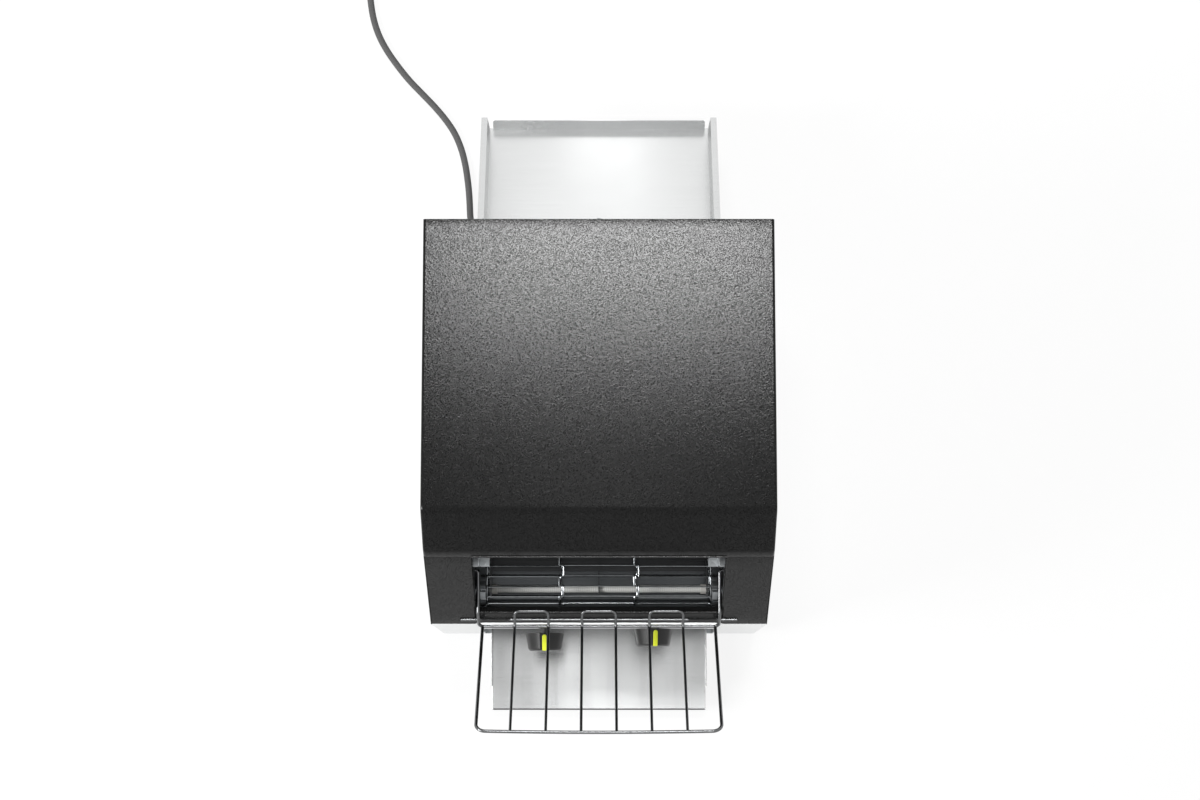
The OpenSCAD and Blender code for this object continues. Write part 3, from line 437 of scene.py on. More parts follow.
@dataclass(frozen=True)
class BrushedSteel(Finish):
    """Stainless sheet with a ground finish: fine lines one way, so highlights stretch across them."""

    metallic: float = 1.0
    lines: Axis = Axis.X
    line_mm: float = 0.9
    smear: float = 0.6
    relief_mm: float = 0.004

    def dress(self, tree: Tree, shader: Node) -> None:
        """Lines as stretched noise, coarser than the real ones, which also change tone and gloss."""
        along = np.array(self.lines.value)
        stretch = (1 - along) / (self.line_mm * MM) + along * 9.0
        fine = {"Scale": 1.0, "Detail": 4.0, "Roughness": 0.65}
        lines = add(tree, "ShaderNodeTexNoise", fine, scaled(tree, stretch)).outputs["Fac"]
        cloud = add(tree, "ShaderNodeTexNoise", {"Scale": 1.0, "Detail": 2.0}, scaled(tree, 7.0)).outputs["Fac"]
        self.paint(tree, shader, spread(tree, lines, 0, 1, 0.25, 0.75))
        both = add(tree, "ShaderNodeMath", {1: 0.5}, {0: lines, 2: cloud}, operation="MULTIPLY_ADD")
        self.gloss(tree, shader, both.outputs[0], 0.05, 0.07, start=0.55, end=0.95)
        self.relief(tree, shader, lines, self.relief_mm)
        way = add(tree, "ShaderNodeCombineXYZ", dict(enumerate(self.lines.value)))
        tree.links.new(way.outputs["Vector"], shader.inputs["Tangent"])
        shader.inputs["Anisotropic"].default_value = self.smear
        shader.inputs["Anisotropic Rotation"].default_value = 0.25


@dataclass(frozen=True)
class Zinc(Finish):
    """Hot-dip galvanised sheet: crystals some millimetres wide, each a little lighter or darker."""

    metallic: float = 1.0
    crystal_mm: float = 7.0

    def dress(self, tree: Tree, shader: Node) -> None:
        """Crystals as cells with one tone each, and fine noise for the skin of the zinc."""
        crystals = add(tree, "ShaderNodeTexVoronoi", {"Scale": 1.0}, scaled(tree, 1 / (self.crystal_mm * MM)))
        skin = add(tree, "ShaderNodeTexNoise", {"Scale": 1.0, "Detail": 4.0}, scaled(tree, 300.0))
        tone = add(tree, "ShaderNodeSeparateColor", links={"Color": crystals.outputs["Color"]})
        self.paint(tree, shader, spread(tree, tone.outputs["Red"], 0, 1, 0, 1))
        self.gloss(tree, shader, tone.outputs["Green"], 0.06, 0.08, start=0, end=1)
        self.relief(tree, shader, skin.outputs["Fac"], 0.03, 0.4)


@dataclass(frozen=True)
class DrawnMetal(Finish):
    """Drawn wire, turned shafts and plated parts: smooth, with slow waves in the plating and faint marks."""

    metallic: float = 1.0
    wave_mm: float = 6.0

    def dress(self, tree: Tree, shader: Node) -> None:
        """Slow noise for tone and gloss, and finer noise for the relief."""
        slow, fine = {"Scale": 1.0, "Detail": 3.0}, {"Scale": 1.0, "Detail": 5.0, "Roughness": 0.7}
        waves = add(tree, "ShaderNodeTexNoise", slow, scaled(tree, 1 / (self.wave_mm * MM)))
        marks = add(tree, "ShaderNodeTexNoise", fine, scaled(tree, 900.0)).outputs["Fac"]
        self.paint(tree, shader, spread(tree, waves.outputs["Fac"], 0, 1))
        self.gloss(tree, shader, marks, 0.03, 0.08)
        self.relief(tree, shader, marks, 0.015, 0.4)


@dataclass(frozen=True)
class Moulded(Finish):
    """Moulded plastic or rubber with a spark-eroded skin: an even fine grit, and gloss that comes and goes."""

    grit_mm: float = 0.6
    relief_mm: float = 0.04

    def dress(self, tree: Tree, shader: Node) -> None:
        """Grit as noise, drawn coarser than the real one so that it shows."""
        rough = {"Scale": 1.0, "Detail": 3.0, "Roughness": 0.7}
        grit = add(tree, "ShaderNodeTexNoise", rough, scaled(tree, 1 / (self.grit_mm * MM)))
        slow = add(tree, "ShaderNodeTexNoise", {"Scale": 1.0, "Detail": 2.0}, scaled(tree, 60.0)).outputs["Fac"]
        self.paint(tree, shader, spread(tree, slow, 0, 1))
        self.gloss(tree, shader, slow, 0.05, 0.06)
        self.relief(tree, shader, grit.outputs["Fac"], self.relief_mm, 0.7)


@dataclass(frozen=True)
class Quartz(Finish):
    """Milky quartz tube, greyed by heat: glossy, with the turns of the heating wire faintly showing."""

    turn_mm: float = 2.4

    def dress(self, tree: Tree, shader: Node) -> None:
        """Bands across the tube, one for each turn of the wire inside."""
        across = scaled(tree, (2 / (self.turn_mm * MM) / math.pi, 1.0, 1.0))
        uneven = {"Scale": 0.5, "Distortion": 0.4, "Detail": 1.0}
        bands = add(tree, "ShaderNodeTexWave", uneven, across, bands_direction="X")
        self.paint(tree, shader, bands.outputs["Fac"])
        shader.inputs["Transmission Weight"].default_value = 0.1
        shader.inputs["IOR"].default_value = 1.46


@dataclass(frozen=True)
class Backdrop(Finish):
    """Seamless white paper under and round the object, white to the eye except where the object shades it."""

    own_white: float = 0.85

    def dress(self, tree: Tree, shader: Node) -> None:
        """Adds its own white for rays from the eye and for rays that metal and glass send."""
        fibre = add(tree, "ShaderNodeTexNoise", {"Scale": 1.0, "Detail": 3.0}, scaled(tree, 40.0))
        self.paint(tree, shader, spread(tree, fibre.outputs["Fac"], 0, 1))
        bsdf = shader.outputs["BSDF"]
        surface = bsdf.links[0].to_socket
        part = add(tree, "ShaderNodeMath", {1: self.own_white}, {0: seen_ray(tree)}, operation="MULTIPLY")
        white = add(tree, "ShaderNodeEmission", {"Color": (1, 1, 1, 1), "Strength": 1.0}).outputs["Emission"]
        mix = add(tree, "ShaderNodeMixShader", links={0: part.outputs[0], 1: bsdf, 2: white})
        tree.links.new(mix.outputs[0], surface)


# Sprayed and baked polyester with a leather grain: black, with a shine broken into specks.
COVER_COAT = PowderCoat("textured_powder_coat", "#070707", "#0e0e0e", 0.12, specular=0.18)
# The same paint pulled thin over a rounded edge, smooth, and painted lighter and shinier than on the cover: the
# edge's light line is partly its round shape and partly painted highlight.
BEAD_COAT_PAINTED_HIGHLIGHT = PowderCoat("lip_coat_painted_highlight", "#1c1c1c", "#242424", 0.3, specular=0.4, relief_mm=0.015)
# Sprayed and baked polyester, smooth: an even black with a soft sheen.
BEZEL_COAT = PowderCoat("bezel_powder_coat", "#0e0e0e", "#161616", 0.24, specular=0.22, relief_mm=0.015)
# Sprayed and baked polyester with an orange-peel skin: dull black.
REAR_COAT = PowderCoat("rear_powder_coat", "#1c1c1c", "#242424", 0.35, specular=0.4, grain_mm=2, relief_mm=0.02)
# Stainless sheet, belt-ground along its width: pale, with fine level lines.
PANEL_STEEL = BrushedSteel("ground_stainless", "#dadbdb", "#e6e7e7", 0.3)
# Stainless sheet, belt-ground from front to back: pale, with a shine drawn up and down.
PANEL_STEEL_UP = BrushedSteel("ground_stainless_sides", "#dcdddd", "#e8e9e9", 0.3, lines=Axis.Y)
# Stainless sheet, finely ground: nearly white, with a soft hot spot.
CHUTE_STEEL = BrushedSteel("ground_stainless_chute", "#d3d4d4", "#d9dada", 0.2, smear=0.35)
# Stainless sheet, finely ground and smooth: grey at the sides, light along the middle.
TRAY_STEEL = BrushedSteel("ground_stainless_tray", "#b4b5b5", "#bcbdbd", 0.2, smear=0.62, relief_mm=0.001)
# Ground stainless folded upright, ground along its length, and painted darker than the floor beside it as its
# shade.
SHADED_FLANGE_STEEL = BrushedSteel("ground_stainless_flanges_painted_shade", "#a6a7a7", "#b2b3b3", 0.24, lines=Axis.Y, smear=0.2)
# Stainless cut on a guillotine and deburred, in a dark colour that paints the shade along the edge: a thin dark
# line round a pale sheet.
EDGE_SHADE_STEEL = DrawnMetal("painted_shade_edge", "#4c4d4d", "#585959", 0.45)
# Steel sheet under the heaters, painted dark grey as the shade inside the mouth: hardly shining.
SHADED_BOX_STEEL = BrushedSteel("box_steel_painted_shade", "#585b5d", "#686b6d", 0.34)
# Aluminised steel, rolled, with upright lines, painted dark grey, far darker than the bare metal: painted shade
# inside the chamber.
SHADED_WALL_STEEL = BrushedSteel("aluminised_wall_painted_shade", "#47494b", "#5a5c5e", 0.4, lines=Axis.Z)
# Aluminium sheet, rolled bright, painted a darker grey than bare aluminium as the shade inside the mouth: grey
# with long streaks of light.
SHADED_REFLECTOR = BrushedSteel("aluminium_painted_shade", "#7f8284", "#939698", 0.3)
# Steel sheet under the lower heaters, painted nearly black as the shade deep in the mouth.
SHADED_HEARTH_STEEL = BrushedSteel("hearth_steel_painted_shade", "#3a3b3c", "#474849", 0.3)
# Hot-dip zinc on steel: pale grey patches with a dull glint.
GALVANISED = Zinc("galvanised_sheet", "#aeb2b4", "#cfd3d5", 0.36)
# Drawn steel wire, chromed: dark along its middle, white along its edges; its colour is far darker than chrome,
# a painted reflection of dark surroundings.
DARK_REFLECTION_CHROME = DrawnMetal("chromed_wire_painted_dark_reflection", "#646566", "#707172", 0.2)
# Drawn stainless wire: grey, with a spark at each bend.
BELT_WIRE = DrawnMetal("bright_belt_wire", "#75787a", "#8b8e90", 0.22)
# Turned and ground bar: light grey with one bright line.
SHAFT_STEEL = DrawnMetal("turned_shaft_steel", "#a9acae", "#c2c5c7", 0.25)
# Pressed and sintered steel: dull dark grey.
SPROCKET_STEEL = DrawnMetal("sintered_sprocket", "#6d7072", "#86898b", 0.42)
# Machined brass: yellow-brown with a clean shine.
GEAR_BRASS = DrawnMetal("machined_brass", "#a5834a", "#bf9c5e", 0.3)
# Sintered bronze full of oil: brown and dull.
BUSH_BRONZE = DrawnMetal("sintered_bronze", "#8e6a3c", "#a88450", 0.45)
# Zinc-plated steel: light grey with a small glint.
SCREW_STEEL = DrawnMetal("plated_screw", "#9b9ea0", "#b8bbbd", 0.28)
# Dipped enamel on a cast case: even mid grey.
MOTOR_PAINT = PowderCoat("motor_enamel", "#6f7478", "#7d8286", 0.45, grain_mm=1.6, relief_mm=0.03)
# Drawn milky quartz: a pale tube with a long highlight.
QUARTZ = Quartz("milky_quartz", "#e2e2df", "#cecfcb", 0.22)
# Pressed steatite: matt, stone-coloured.
CERAMIC = Moulded("steatite_ceramic", "#b4b2ad", "#c6c4bf", 0.6, grit_mm=0.8)
# Moulded phenolic: near black, with a broad sheen on the facets that face the light.
KNOB_PLASTIC = Moulded("knob_phenolic", "#1a1a1a", "#222222", 0.34, specular=0.3, grit_mm=0.5, relief_mm=0.02)
# Moulded ABS: bright yellow-green, half matt.
LIME = Moulded("lime_insert", "#d4de28", "#dfe836", 0.42, grit_mm=0.5, relief_mm=0.02)
# Moulded nylon: dark grey, half matt.
SWITCH_PLASTIC = Moulded("switch_nylon", "#2e2e2e", "#3a3a3a", 0.5)
# Moulded glass-filled plastic: black, half matt.
FAN_PLASTIC = Moulded("fan_plastic", "#1c1c1c", "#282828", 0.5)
# Moulded natural nylon: cream, half matt.
BLOCK_PLASTIC = Moulded("terminal_nylon", "#cfc9b8", "#dcd7c8", 0.5)
# Moulded rubber: black and matt.
FOOT_RUBBER = Moulded("foot_rubber", "#161616", "#202020", 0.7, grit_mm=0.9, relief_mm=0.08)
# Extruded rubber: black, with a faint sheen along the top.
CORD_RUBBER = Moulded("cord_rubber", "#1b1b1b", "#262626", 0.55, grit_mm=0.7, relief_mm=0.05)
# Matt white paper: no shine at all.
PAPER = Backdrop("white_paper", "#fcfcfc", "#ffffff", 0.9)

# CAD nodes that stay as they are, in view or inside, under the finish that they get.
KEPT: tuple[tuple[Finish, str], ...] = (
    (PANEL_STEEL_UP, "left_side_panel right_side_panel"),
    (PANEL_STEEL, "control_panel"),
    (REAR_COAT, "rear_panel"),
    (GALVANISED, "base_pan tray_runners motor_bracket upper_heater_brackets"),
    (SHADED_WALL_STEEL, "left_chamber_wall right_chamber_wall"),
    (SHADED_BOX_STEEL, "control_box"),
    (TRAY_STEEL, "inner_slide"),
    (SHADED_REFLECTOR, "upper_reflector"),
    (SHADED_HEARTH_STEEL, "lower_heater_tray"),
    (QUARTZ, "upper_heaters lower_heaters"),
    (CERAMIC, "upper_heater_caps lower_heater_caps"),
    (SHAFT_STEEL, "chute_rod drive_shaft front_axles"),
    (SPROCKET_STEEL, "drive_sprockets left_front_sprocket right_front_sprocket"),
    (GEAR_BRASS, "shaft_gear motor_pinion"),
    (BUSH_BRONZE, "shaft_bushes"),
    (SCREW_STEEL, "rear_screws"),
    (MOTOR_PAINT, "gearmotor"),
    (SWITCH_PLASTIC, "heat_switch speed_control heat_spindle speed_spindle thermal_cutout"),
    (FAN_PLASTIC, "fan_frame fan_rotor cable_gland"),
    (BLOCK_PLASTIC, "terminal_block"),
    (FOOT_RUBBER, "feet"),
    (CORD_RUBBER, "power_plug"),
)


def dress(piece: Object, finish: Finish) -> Object:
    """Gives a piece one finish in place of whatever it has."""
    if piece.material_slots:
        for held in piece.material_slots:
            held.material = finish.material()
    else:
        piece.data.materials.append(finish.material())
    return piece


def settle(piece: Object, finish: Finish, body: str) -> Object:
    """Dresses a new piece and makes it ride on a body."""
    dress(piece, finish)
    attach(piece, body)
    log.info("%s: %d faces, rides on %s", piece.name, len(piece.data.polygons), body)
    return piece


# ----- studio -----
@dataclass(frozen=True)
class Lamp:
    """Soft rectangular lamp: its centre, the point it faces and its size in metres, and its power in watts."""

    name: str
    spot: Point
    aim: Point
    size: tuple[float, float]
    watts: float

    def hang(self) -> None:
        """Puts the lamp in its place and turns it to its aim."""
        light = bpy.data.lights.new(self.name, "AREA")
        light.shape, light.energy = "RECTANGLE", self.watts
        light.size, light.size_y = self.size
        made = bpy.data.objects.new(self.name, light)
        made.location = self.spot
        made.rotation_euler = (Vector(self.aim) - Vector(self.spot)).to_track_quat("-Z", "Y").to_euler()
        bpy.context.scene.collection.objects.link(made)


@dataclass
class Studio:
    """Camera high over the front of the object, white paper, and soft lamps."""

    camera_mm: Point = (1.2, -128.1, 2643.0)
    tip_deg: float = 7.56
    lens_mm: float = 65.97
    sensor_mm: float = 36.0
    shift_up: float = 50 / 1200
    sky_light: float = 0.35
    floor_half: float = 6000.0
    lamps: tuple[Lamp, ...] = (
        Lamp("rear_softbox", (0.05, 0.84, 2.9), (0.05, 0.84, 0), (0.92, 0.6), 50),
        Lamp("top_strip", (0.0, -0.15, 2.95), (0, -0.15, 0), (0.24, 0.9), 0.95),
        Lamp("rear_strip", (0.02, 2.4, 1.6), (0.02, 0, 0.1), (0.24, 1.4), 0.7),
        Lamp("left_softbox", (-1.7, -0.52, 1.35), (-0.06, -0.02, 0.19), (0.8, 0.8), 40),
    )

    def camera(self) -> None:
        """Makes the scene's camera."""
        lens = bpy.data.cameras.new("camera")
        lens.lens, lens.sensor_width, lens.shift_y = self.lens_mm, self.sensor_mm, self.shift_up
        lens.clip_end = 50
        made = bpy.data.objects.new("camera", lens)
        made.location = place(self.camera_mm)
        made.rotation_euler = (math.radians(self.tip_deg), 0, 0)
        bpy.context.scene.collection.objects.link(made)
        bpy.context.scene.camera = made

    def paper(self) -> None:
        """Lays the paper: a flat floor, far wider than the view."""
        side = np.linspace(-self.floor_half, self.floor_half, 9)
        x, y = np.meshgrid(side, side - FRONT_Y)
        floor = make_object("paper", [Patch(np.stack([x, y, np.zeros_like(x)], axis=-1))], turn_out=False)
        dress(floor, PAPER)

    def sky(self) -> None:
        """Lights evenly from all round, and shows white to the eye, to metal and to glass."""
        world = bpy.data.worlds.new("sky")
        bpy.context.scene.world = world
        world.use_nodes = True
        tree = world.node_tree
        tree.nodes.clear()
        level = spread(tree, seen_ray(tree), self.sky_light, 1.0, 0, 1)
        sky = add(tree, "ShaderNodeBackground", {"Color": (1, 1, 1, 1)}, {"Strength": level})
        add(tree, "ShaderNodeOutputWorld", links={"Surface": sky.outputs["Background"]})

    def build(self) -> None:
        """Sets up paper, sky and lamps."""
        bpy.context.scene.view_settings.view_transform = "Standard"
        self.paper()
        self.sky()
        for lamp in self.lamps:
            lamp.hang()
        log.info("studio: paper, sky and %d lamps", len(self.lamps))


# ----- cord -----
@dataclass
class MainsLead:
    """Black rubber lead from the gland at the rear left: over the table, into a coil, and out to its plug."""

    diameter: float = 8.0
    coil_centre: tuple[float, float] = (-234.0, 856.0)
    coil_radius: float = 48.0
    turns: float = 3.25
    inwards_at: float = 0.85
    climb_at: float = 1.45
    outwards_at: float = 2.05

    ROUTE = (
        (-155, 440, 58), (-155, 446, 58), (-155, 455, 57), (-155, 463, 54.5), (-155, 471, 50),
        (-155, 478, 45), (-155.5, 483, 38.5), (-155.5, 487.5, 31), (-156, 492, 23.5), (-156.5, 498, 16.5),
        (-157, 505, 11), (-158, 512, 7), (-158.5, 520, 5), (-159, 529, 4), (-160, 543, 4), (-162, 560, 4),
        (-165, 578, 4), (-170, 597, 4), (-178, 616, 4), (-189, 633, 4), (-203, 650, 4), (-219, 667, 4),
        (-235, 684, 4), (-250, 703, 4), (-263, 722, 4), (-273, 741, 4), (-280, 762, 4), (-284, 785, 4),
        (-286, 810, 4), (-286, 835, 4),
    )
    TAIL = (
        (-215, 908, 12), (-200, 908, 12.5), (-185, 908, 14), (-170, 908, 17), (-155, 908, 18.5),
        (-142, 908, 18.5),
    )

    @staticmethod
    def ease(s: Array, at: float) -> Array:
        """A step from 0 to 1 over 0.3 turns from at: (1 - cos (pi t)) / 2."""
        return 0.5 - 0.5 * np.cos(np.pi * np.clip((s - at) / 0.3, 0, 1))

    def centre_line(self) -> Array:
        """Points of the whole lead: route, coil of one outer and one inner turn on each layer, tail."""
        per_turn = 20
        n = int(round(self.turns * per_turn))
        s = np.arange(1, n) / per_turn
        a = math.pi - 2 * math.pi * s
        half = self.diameter / 2
        inner = self.ease(s, self.inwards_at) - self.ease(s, self.outwards_at)
        r = self.coil_radius + half - self.diameter * inner
        z = half + self.diameter * self.ease(s, self.climb_at)
        coil = np.stack([self.coil_centre[0] + r * np.cos(a), self.coil_centre[1] + r * np.sin(a), z], axis=1)
        return np.concatenate([np.array(self.ROUTE, float), coil, np.array(self.TAIL, float)])

    def build(self) -> None:
        line = smooth_line(self.centre_line(), 4)
        lead = make_object("mains_lead", [Patch(wire_rings(line, self.diameter / 2, 14), ring=True, caps=True)])
        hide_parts("power_cord", "cord_coil")
        settle(lead, CORD_RUBBER, "cabinet")
        metres = place(line)


# ----- hood and bezel -----
@dataclass
class Hood:
    """Black textured cover: flat top, sloping hood with rounded bends, lip, and two sides."""

    width: float = 369.0
    depth: float = 416.0
    height: float = 387.0
    waist: float = 225.0
    lip_y: float = 64.4
    lip_z: float = 339.5
    dip: float = math.radians(45)
    top_bend: float = 14.0
    lip_bend: float = 16.0
    lip_flat: float = 7.5
    fold: float = 3.0
    sheet: float = 1.2
    mouth_half: float = 135.0
    rear_flange: float = 14.0
    lip_return: float = 8.6
    bead_r: float = 0.95
    bar: float = 21.0
    bezel_bend: float = 1.6
    bezel_return: float = 8.0
    bezel_foot: float = 0.6
    bezel_inset: float = 1.4
    margin: float = 0.4
    lap: float = 0.5

    def tilt(self) -> float:
        """Angle of the mouth's slope from upright."""
        return math.atan(self.lip_y / (self.lip_z - self.waist))

    def slope(self) -> float:
        """Length of the mouth's slope, from the waist up to the lip."""
        return math.hypot(self.lip_y, self.lip_z - self.waist)

    def line(self, inset: Array) -> tuple[Array, Array]:
        """The cover's section, moved inwards.

        Args:
            inset: distances inwards, one for each column.

        Returns:
            y and z of each row and column: straight stretches, and arcs centre + (r - inset)(cos a, sin a).
        """
        tilt, t = self.tilt(), inset[None, :]
        up, back = np.array([math.sin(tilt), math.cos(tilt)]), np.array([math.cos(tilt), -math.sin(tilt)])
        c2 = np.array([self.lip_y, self.lip_z]) + self.lip_flat * up + self.lip_bend * back
        foot = c2 + self.lip_bend * np.array([-math.sin(self.dip), math.cos(self.dip)])
        head_z = self.height - self.top_bend + self.top_bend * math.cos(self.dip)
        c1_y = foot[0] + (head_z - foot[1]) / math.tan(self.dip) + self.top_bend * math.sin(self.dip)
        c1 = np.array([c1_y, self.height - self.top_bend])
        top = np.linspace(self.depth, c1_y, 24)[:-1, None]
        flat = (top + 0 * t, self.height - t + 0 * top)
        a1 = np.linspace(math.pi / 2, math.pi / 2 + self.dip, 13)[:, None]
        bend1 = (c1[0] + (self.top_bend - t) * np.cos(a1), c1[1] + (self.top_bend - t) * np.sin(a1))
        a2 = np.linspace(math.pi / 2 + self.dip, math.pi - tilt, 7)[:, None]
        bend2 = (c2[0] + (self.lip_bend - t) * np.cos(a2), c2[1] + (self.lip_bend - t) * np.sin(a2))
        end = (self.lip_y + t * back[0], self.lip_z + t * back[1])
        return tuple(np.concatenate([flat[k], bend1[k], bend2[k], end[k]]) for k in (0, 1))

    def cover(self) -> None:
        """The cover as one folded sheet: down one side, over the top, and down the other."""
        half = self.width / 2
        phi = np.linspace(0, math.pi / 2, 8)
        x_fold = half - self.fold + self.fold * np.sin(phi)
        inset = self.fold * (1 - np.cos(phi))
        x = np.concatenate([-x_fold[::-1], np.linspace(-x_fold[0], x_fold[0], 14)[1:-1], x_fold])
        t = np.concatenate([inset[::-1], np.zeros(12), inset])
        y, z = self.line(t)
        top = np.stack([np.broadcast_to(x, y.shape), y, z], axis=-1)
        share = (self.depth - y[:, 0]) / (self.depth - y[-1, 0])
        foot = np.column_stack([np.full(len(y), -half), self.depth * (1 - share), np.full(len(y), self.waist)])
        down = np.linspace(1, 0, 7)[None, :-1, None]
        left = top[:, :1] + (foot[:, None] - top[:, :1]) * down
        right = (left * [-1, 1, 1])[:, ::-1]
        whole = np.concatenate([left, top, right], axis=1)
        cover = make_object("hood_cover", [Patch(whole)], turn_out=False)
        cover.data.flip_normals()
        thicken(cover, self.sheet)
        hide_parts("top_cover")
        settle(cover, COVER_COAT, "cabinet")

    def flanges(self) -> None:
        """The cover's two folded-in edges: down the back, and along the lip behind the bead."""
        out, inner = self.depth, self.depth - self.sheet
        low, high = self.height - self.rear_flange, self.height - 2 * self.margin
        back_x, lip_x = self.width / 2 - 2, self.mouth_half - self.margin / 2
        back = self.bar_strip(back_x, [[inner, low], [out, low], [out, high], [inner, high]])
        u = self.slope() + np.array([0, 0, self.sheet, self.sheet])
        v = np.array([self.margin, self.lip_return, self.lip_return, self.margin])
        lip = self.bar_strip(lip_x, self.on_slope(u, v, np.zeros(4))[:, 1:])
        edges = make_object("hood_flanges", [back, lip], smooth=False)
        settle(edges, COVER_COAT, "cabinet")

    def bead(self) -> None:
        """The rounded lower edge of the lip, which catches the light: a rod along the top of the mouth, painted
        lighter than the cover, which adds a painted highlight.
        """
        x = np.linspace(-self.mouth_half + self.lap, self.mouth_half - self.lap, 5)
        line = self.on_slope(np.full(5, self.slope() + 0.2), np.full(5, -0.1), x)
        bead = make_object("lip_bead", [wire(line, self.bead_r, 12)])
        settle(bead, BEAD_COAT_PAINTED_HIGHLIGHT, "cabinet")

    @staticmethod
    def bar_strip(half: float, outline: list[list[float]] | Array) -> Patch:
        """An outline in y and z carried from x = -half to half, with closed ends."""
        yz = np.array(outline)
        rows = [np.column_stack([np.full(len(yz), x), yz]) for x in (-half, half)]
        return Patch(np.stack(rows), ring=True, caps=True)

    def on_slope(self, u: Array, v: Array, x: Array) -> Array:
        """Points u up the slope, v behind it and x across: (x, u sin + v cos, waist + u cos - v sin)."""
        sin, cos = math.sin(self.tilt()), math.cos(self.tilt())
        return np.stack([x + 0 * u, u * sin + v * cos, self.waist + u * cos - v * sin], axis=-1)

    def bezel(self) -> None:
        """The two cheeks beside the mouth and the bar under it, each with a folded inner edge."""
        r, face, deep = self.bezel_bend, self.sheet, self.sheet + self.bezel_return
        a = np.linspace(0, math.pi / 2, 6)
        fold_in = np.concatenate([r - r * np.sin(a), [0.0]])
        fold_v = np.concatenate([face + r - r * np.cos(a), [deep]])
        outer = self.width / 2 - self.bezel_inset
        x = np.concatenate([[outer], self.mouth_half + fold_in])
        v = np.concatenate([[face], fold_v])
        u = np.linspace(self.bezel_foot, self.slope() - self.margin, 8)[:, None]
        right = self.on_slope(u + 0 * x, v + 0 * u, x + 0 * u)
        left = (right * [-1, 1, 1])[:, ::-1]
        across = np.linspace(-self.mouth_half - self.lap, self.mouth_half + self.lap, 9)[:, None]
        low_u = np.concatenate([[self.bezel_foot], self.bar - fold_in])
        bar = self.on_slope(low_u + 0 * across, v + 0 * across, across + 0 * low_u)
        bezel = make_object("mouth_bezel", [Patch(right), Patch(left), Patch(bar[::-1])], turn_out=False)
        thicken(bezel, self.sheet)
        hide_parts("front_bezel")
        settle(bezel, BEZEL_COAT, "cabinet")

    def build(self) -> None:
        """Makes the cover with its edges, and the bezel."""
        self.cover()
        self.flanges()
        self.bead()
        self.bezel()


# ----- belt -----
@dataclass
class LadderBelt:
    """Wire belt of stepped rungs, each hooked round the next.

    edge and column are how far out the outer and middle hooks are, side shifts the middle ones, rise is how
    far hooks stand out of the belt's plane, step how far a rung's middle is set back, and first the place
    of the first rung in pitches.
    """

    run: float = 282.0
    axle_y: float = 36.495
    axle_z: float = 230.105
    radius: float = 14.895
    rungs: int = 58
    edge: float = 123.0
    column: float = 41.0
    rise: float = 2.0
    wire_d: float = 1.5
    step: float = 1.0
    side: float = 1.6
    first: float = 0.28

    def wrap(self, flat: Array) -> Array:
        """Bends flat belt space round the two axles.

        Args:
            flat: x across, s along the belt, n above it.

        Returns:
            Points on the loop: straight runs, and half turns (R + n)(sin a, cos a) round each axle.
        """
        x, s, n = flat[..., 0], flat[..., 1], flat[..., 2]
        half = math.pi * self.radius
        s = np.mod(s, 2 * (self.run + half))
        r = self.radius + n
        rear, front = self.axle_y + self.run, self.axle_y
        a = (s - self.run) / self.radius
        b = (s - 2 * self.run - half) / self.radius
        spans = [s < self.run, s < self.run + half, s < 2 * self.run + half]
        lower = rear - (s - self.run - half)
        y = np.select(spans, [front + s, rear + r * np.sin(a), lower], front - r * np.sin(b))
        up = np.select(spans, [r, r * np.cos(a), -r], -r * np.cos(b))
        return np.stack([x, y, self.axle_z + up], axis=-1)

    def rung_line(self, pitch: float) -> Array:
        """Centre line of one rung in flat belt space, from its left hook to its right one."""
        c, e, w, k = self.column, self.edge, self.rise, self.step

        def hook(x: float, low: float, high: float) -> list[list[float]]:
            """A middle hook at x, round the next rung, in a rung that steps from low to high there."""
            up = [[x - 1.5, low, 0], [x - 0.9, low + 1.4, 0.5], [x - 0.8, pitch - 0.6, w]]
            down = [[x + 0.8, pitch - 0.2, -w * 0.9], [x + 0.9, high + 2.2, -0.6], [x + 1.5, high, 0]]
            return [*up, [x, pitch + 1.7, 0.9], *down]

        left = [[-e + 3.4, pitch - 0.6, -w * 0.9], [-e + 2.4, pitch + 1.6, 0], [-e + 1.3, pitch - 0.6, w],
                [-e + 0.9, 1.6, 0.6], [-e + 2.2, 0, 0]]
        right = [[-x, s, n] for x, s, n in reversed(left)]
        first, second = hook(-c - self.side, 0, k), hook(c - self.side, k, 0)
        points = [*left, [-e + 20, 0, 0], [-c - 20, 0, 0], *first, [-c + 16, k, 0],
                  [c - 18, k, 0], *second, [c + 18, 0, 0], [e - 20, 0, 0], *right]
        return smooth_line(np.array(points, float), 3)

    def build(self) -> None:
        """Makes all rungs, each turned end for end from the last, and wraps them into a loop."""
        length = 2 * (self.run + math.pi * self.radius)
        pitch = length / self.rungs
        rings = wire_rings(self.rung_line(pitch), self.wire_d / 2, 6)
        turn = np.where(np.arange(self.rungs) % 2 == 0, 1.0, -1.0)[:, None, None]
        flat = np.broadcast_to(rings, (self.rungs, *rings.shape)).copy()
        flat[..., 0] *= turn
        flat[..., 1] += ((np.arange(self.rungs) + self.first) * pitch)[:, None, None]
        belt = make_object("wire_belt", [Patch(self.wrap(flat), ring=True, caps=True)])
        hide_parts("belt")
        settle(belt, BELT_WIRE, "cabinet")


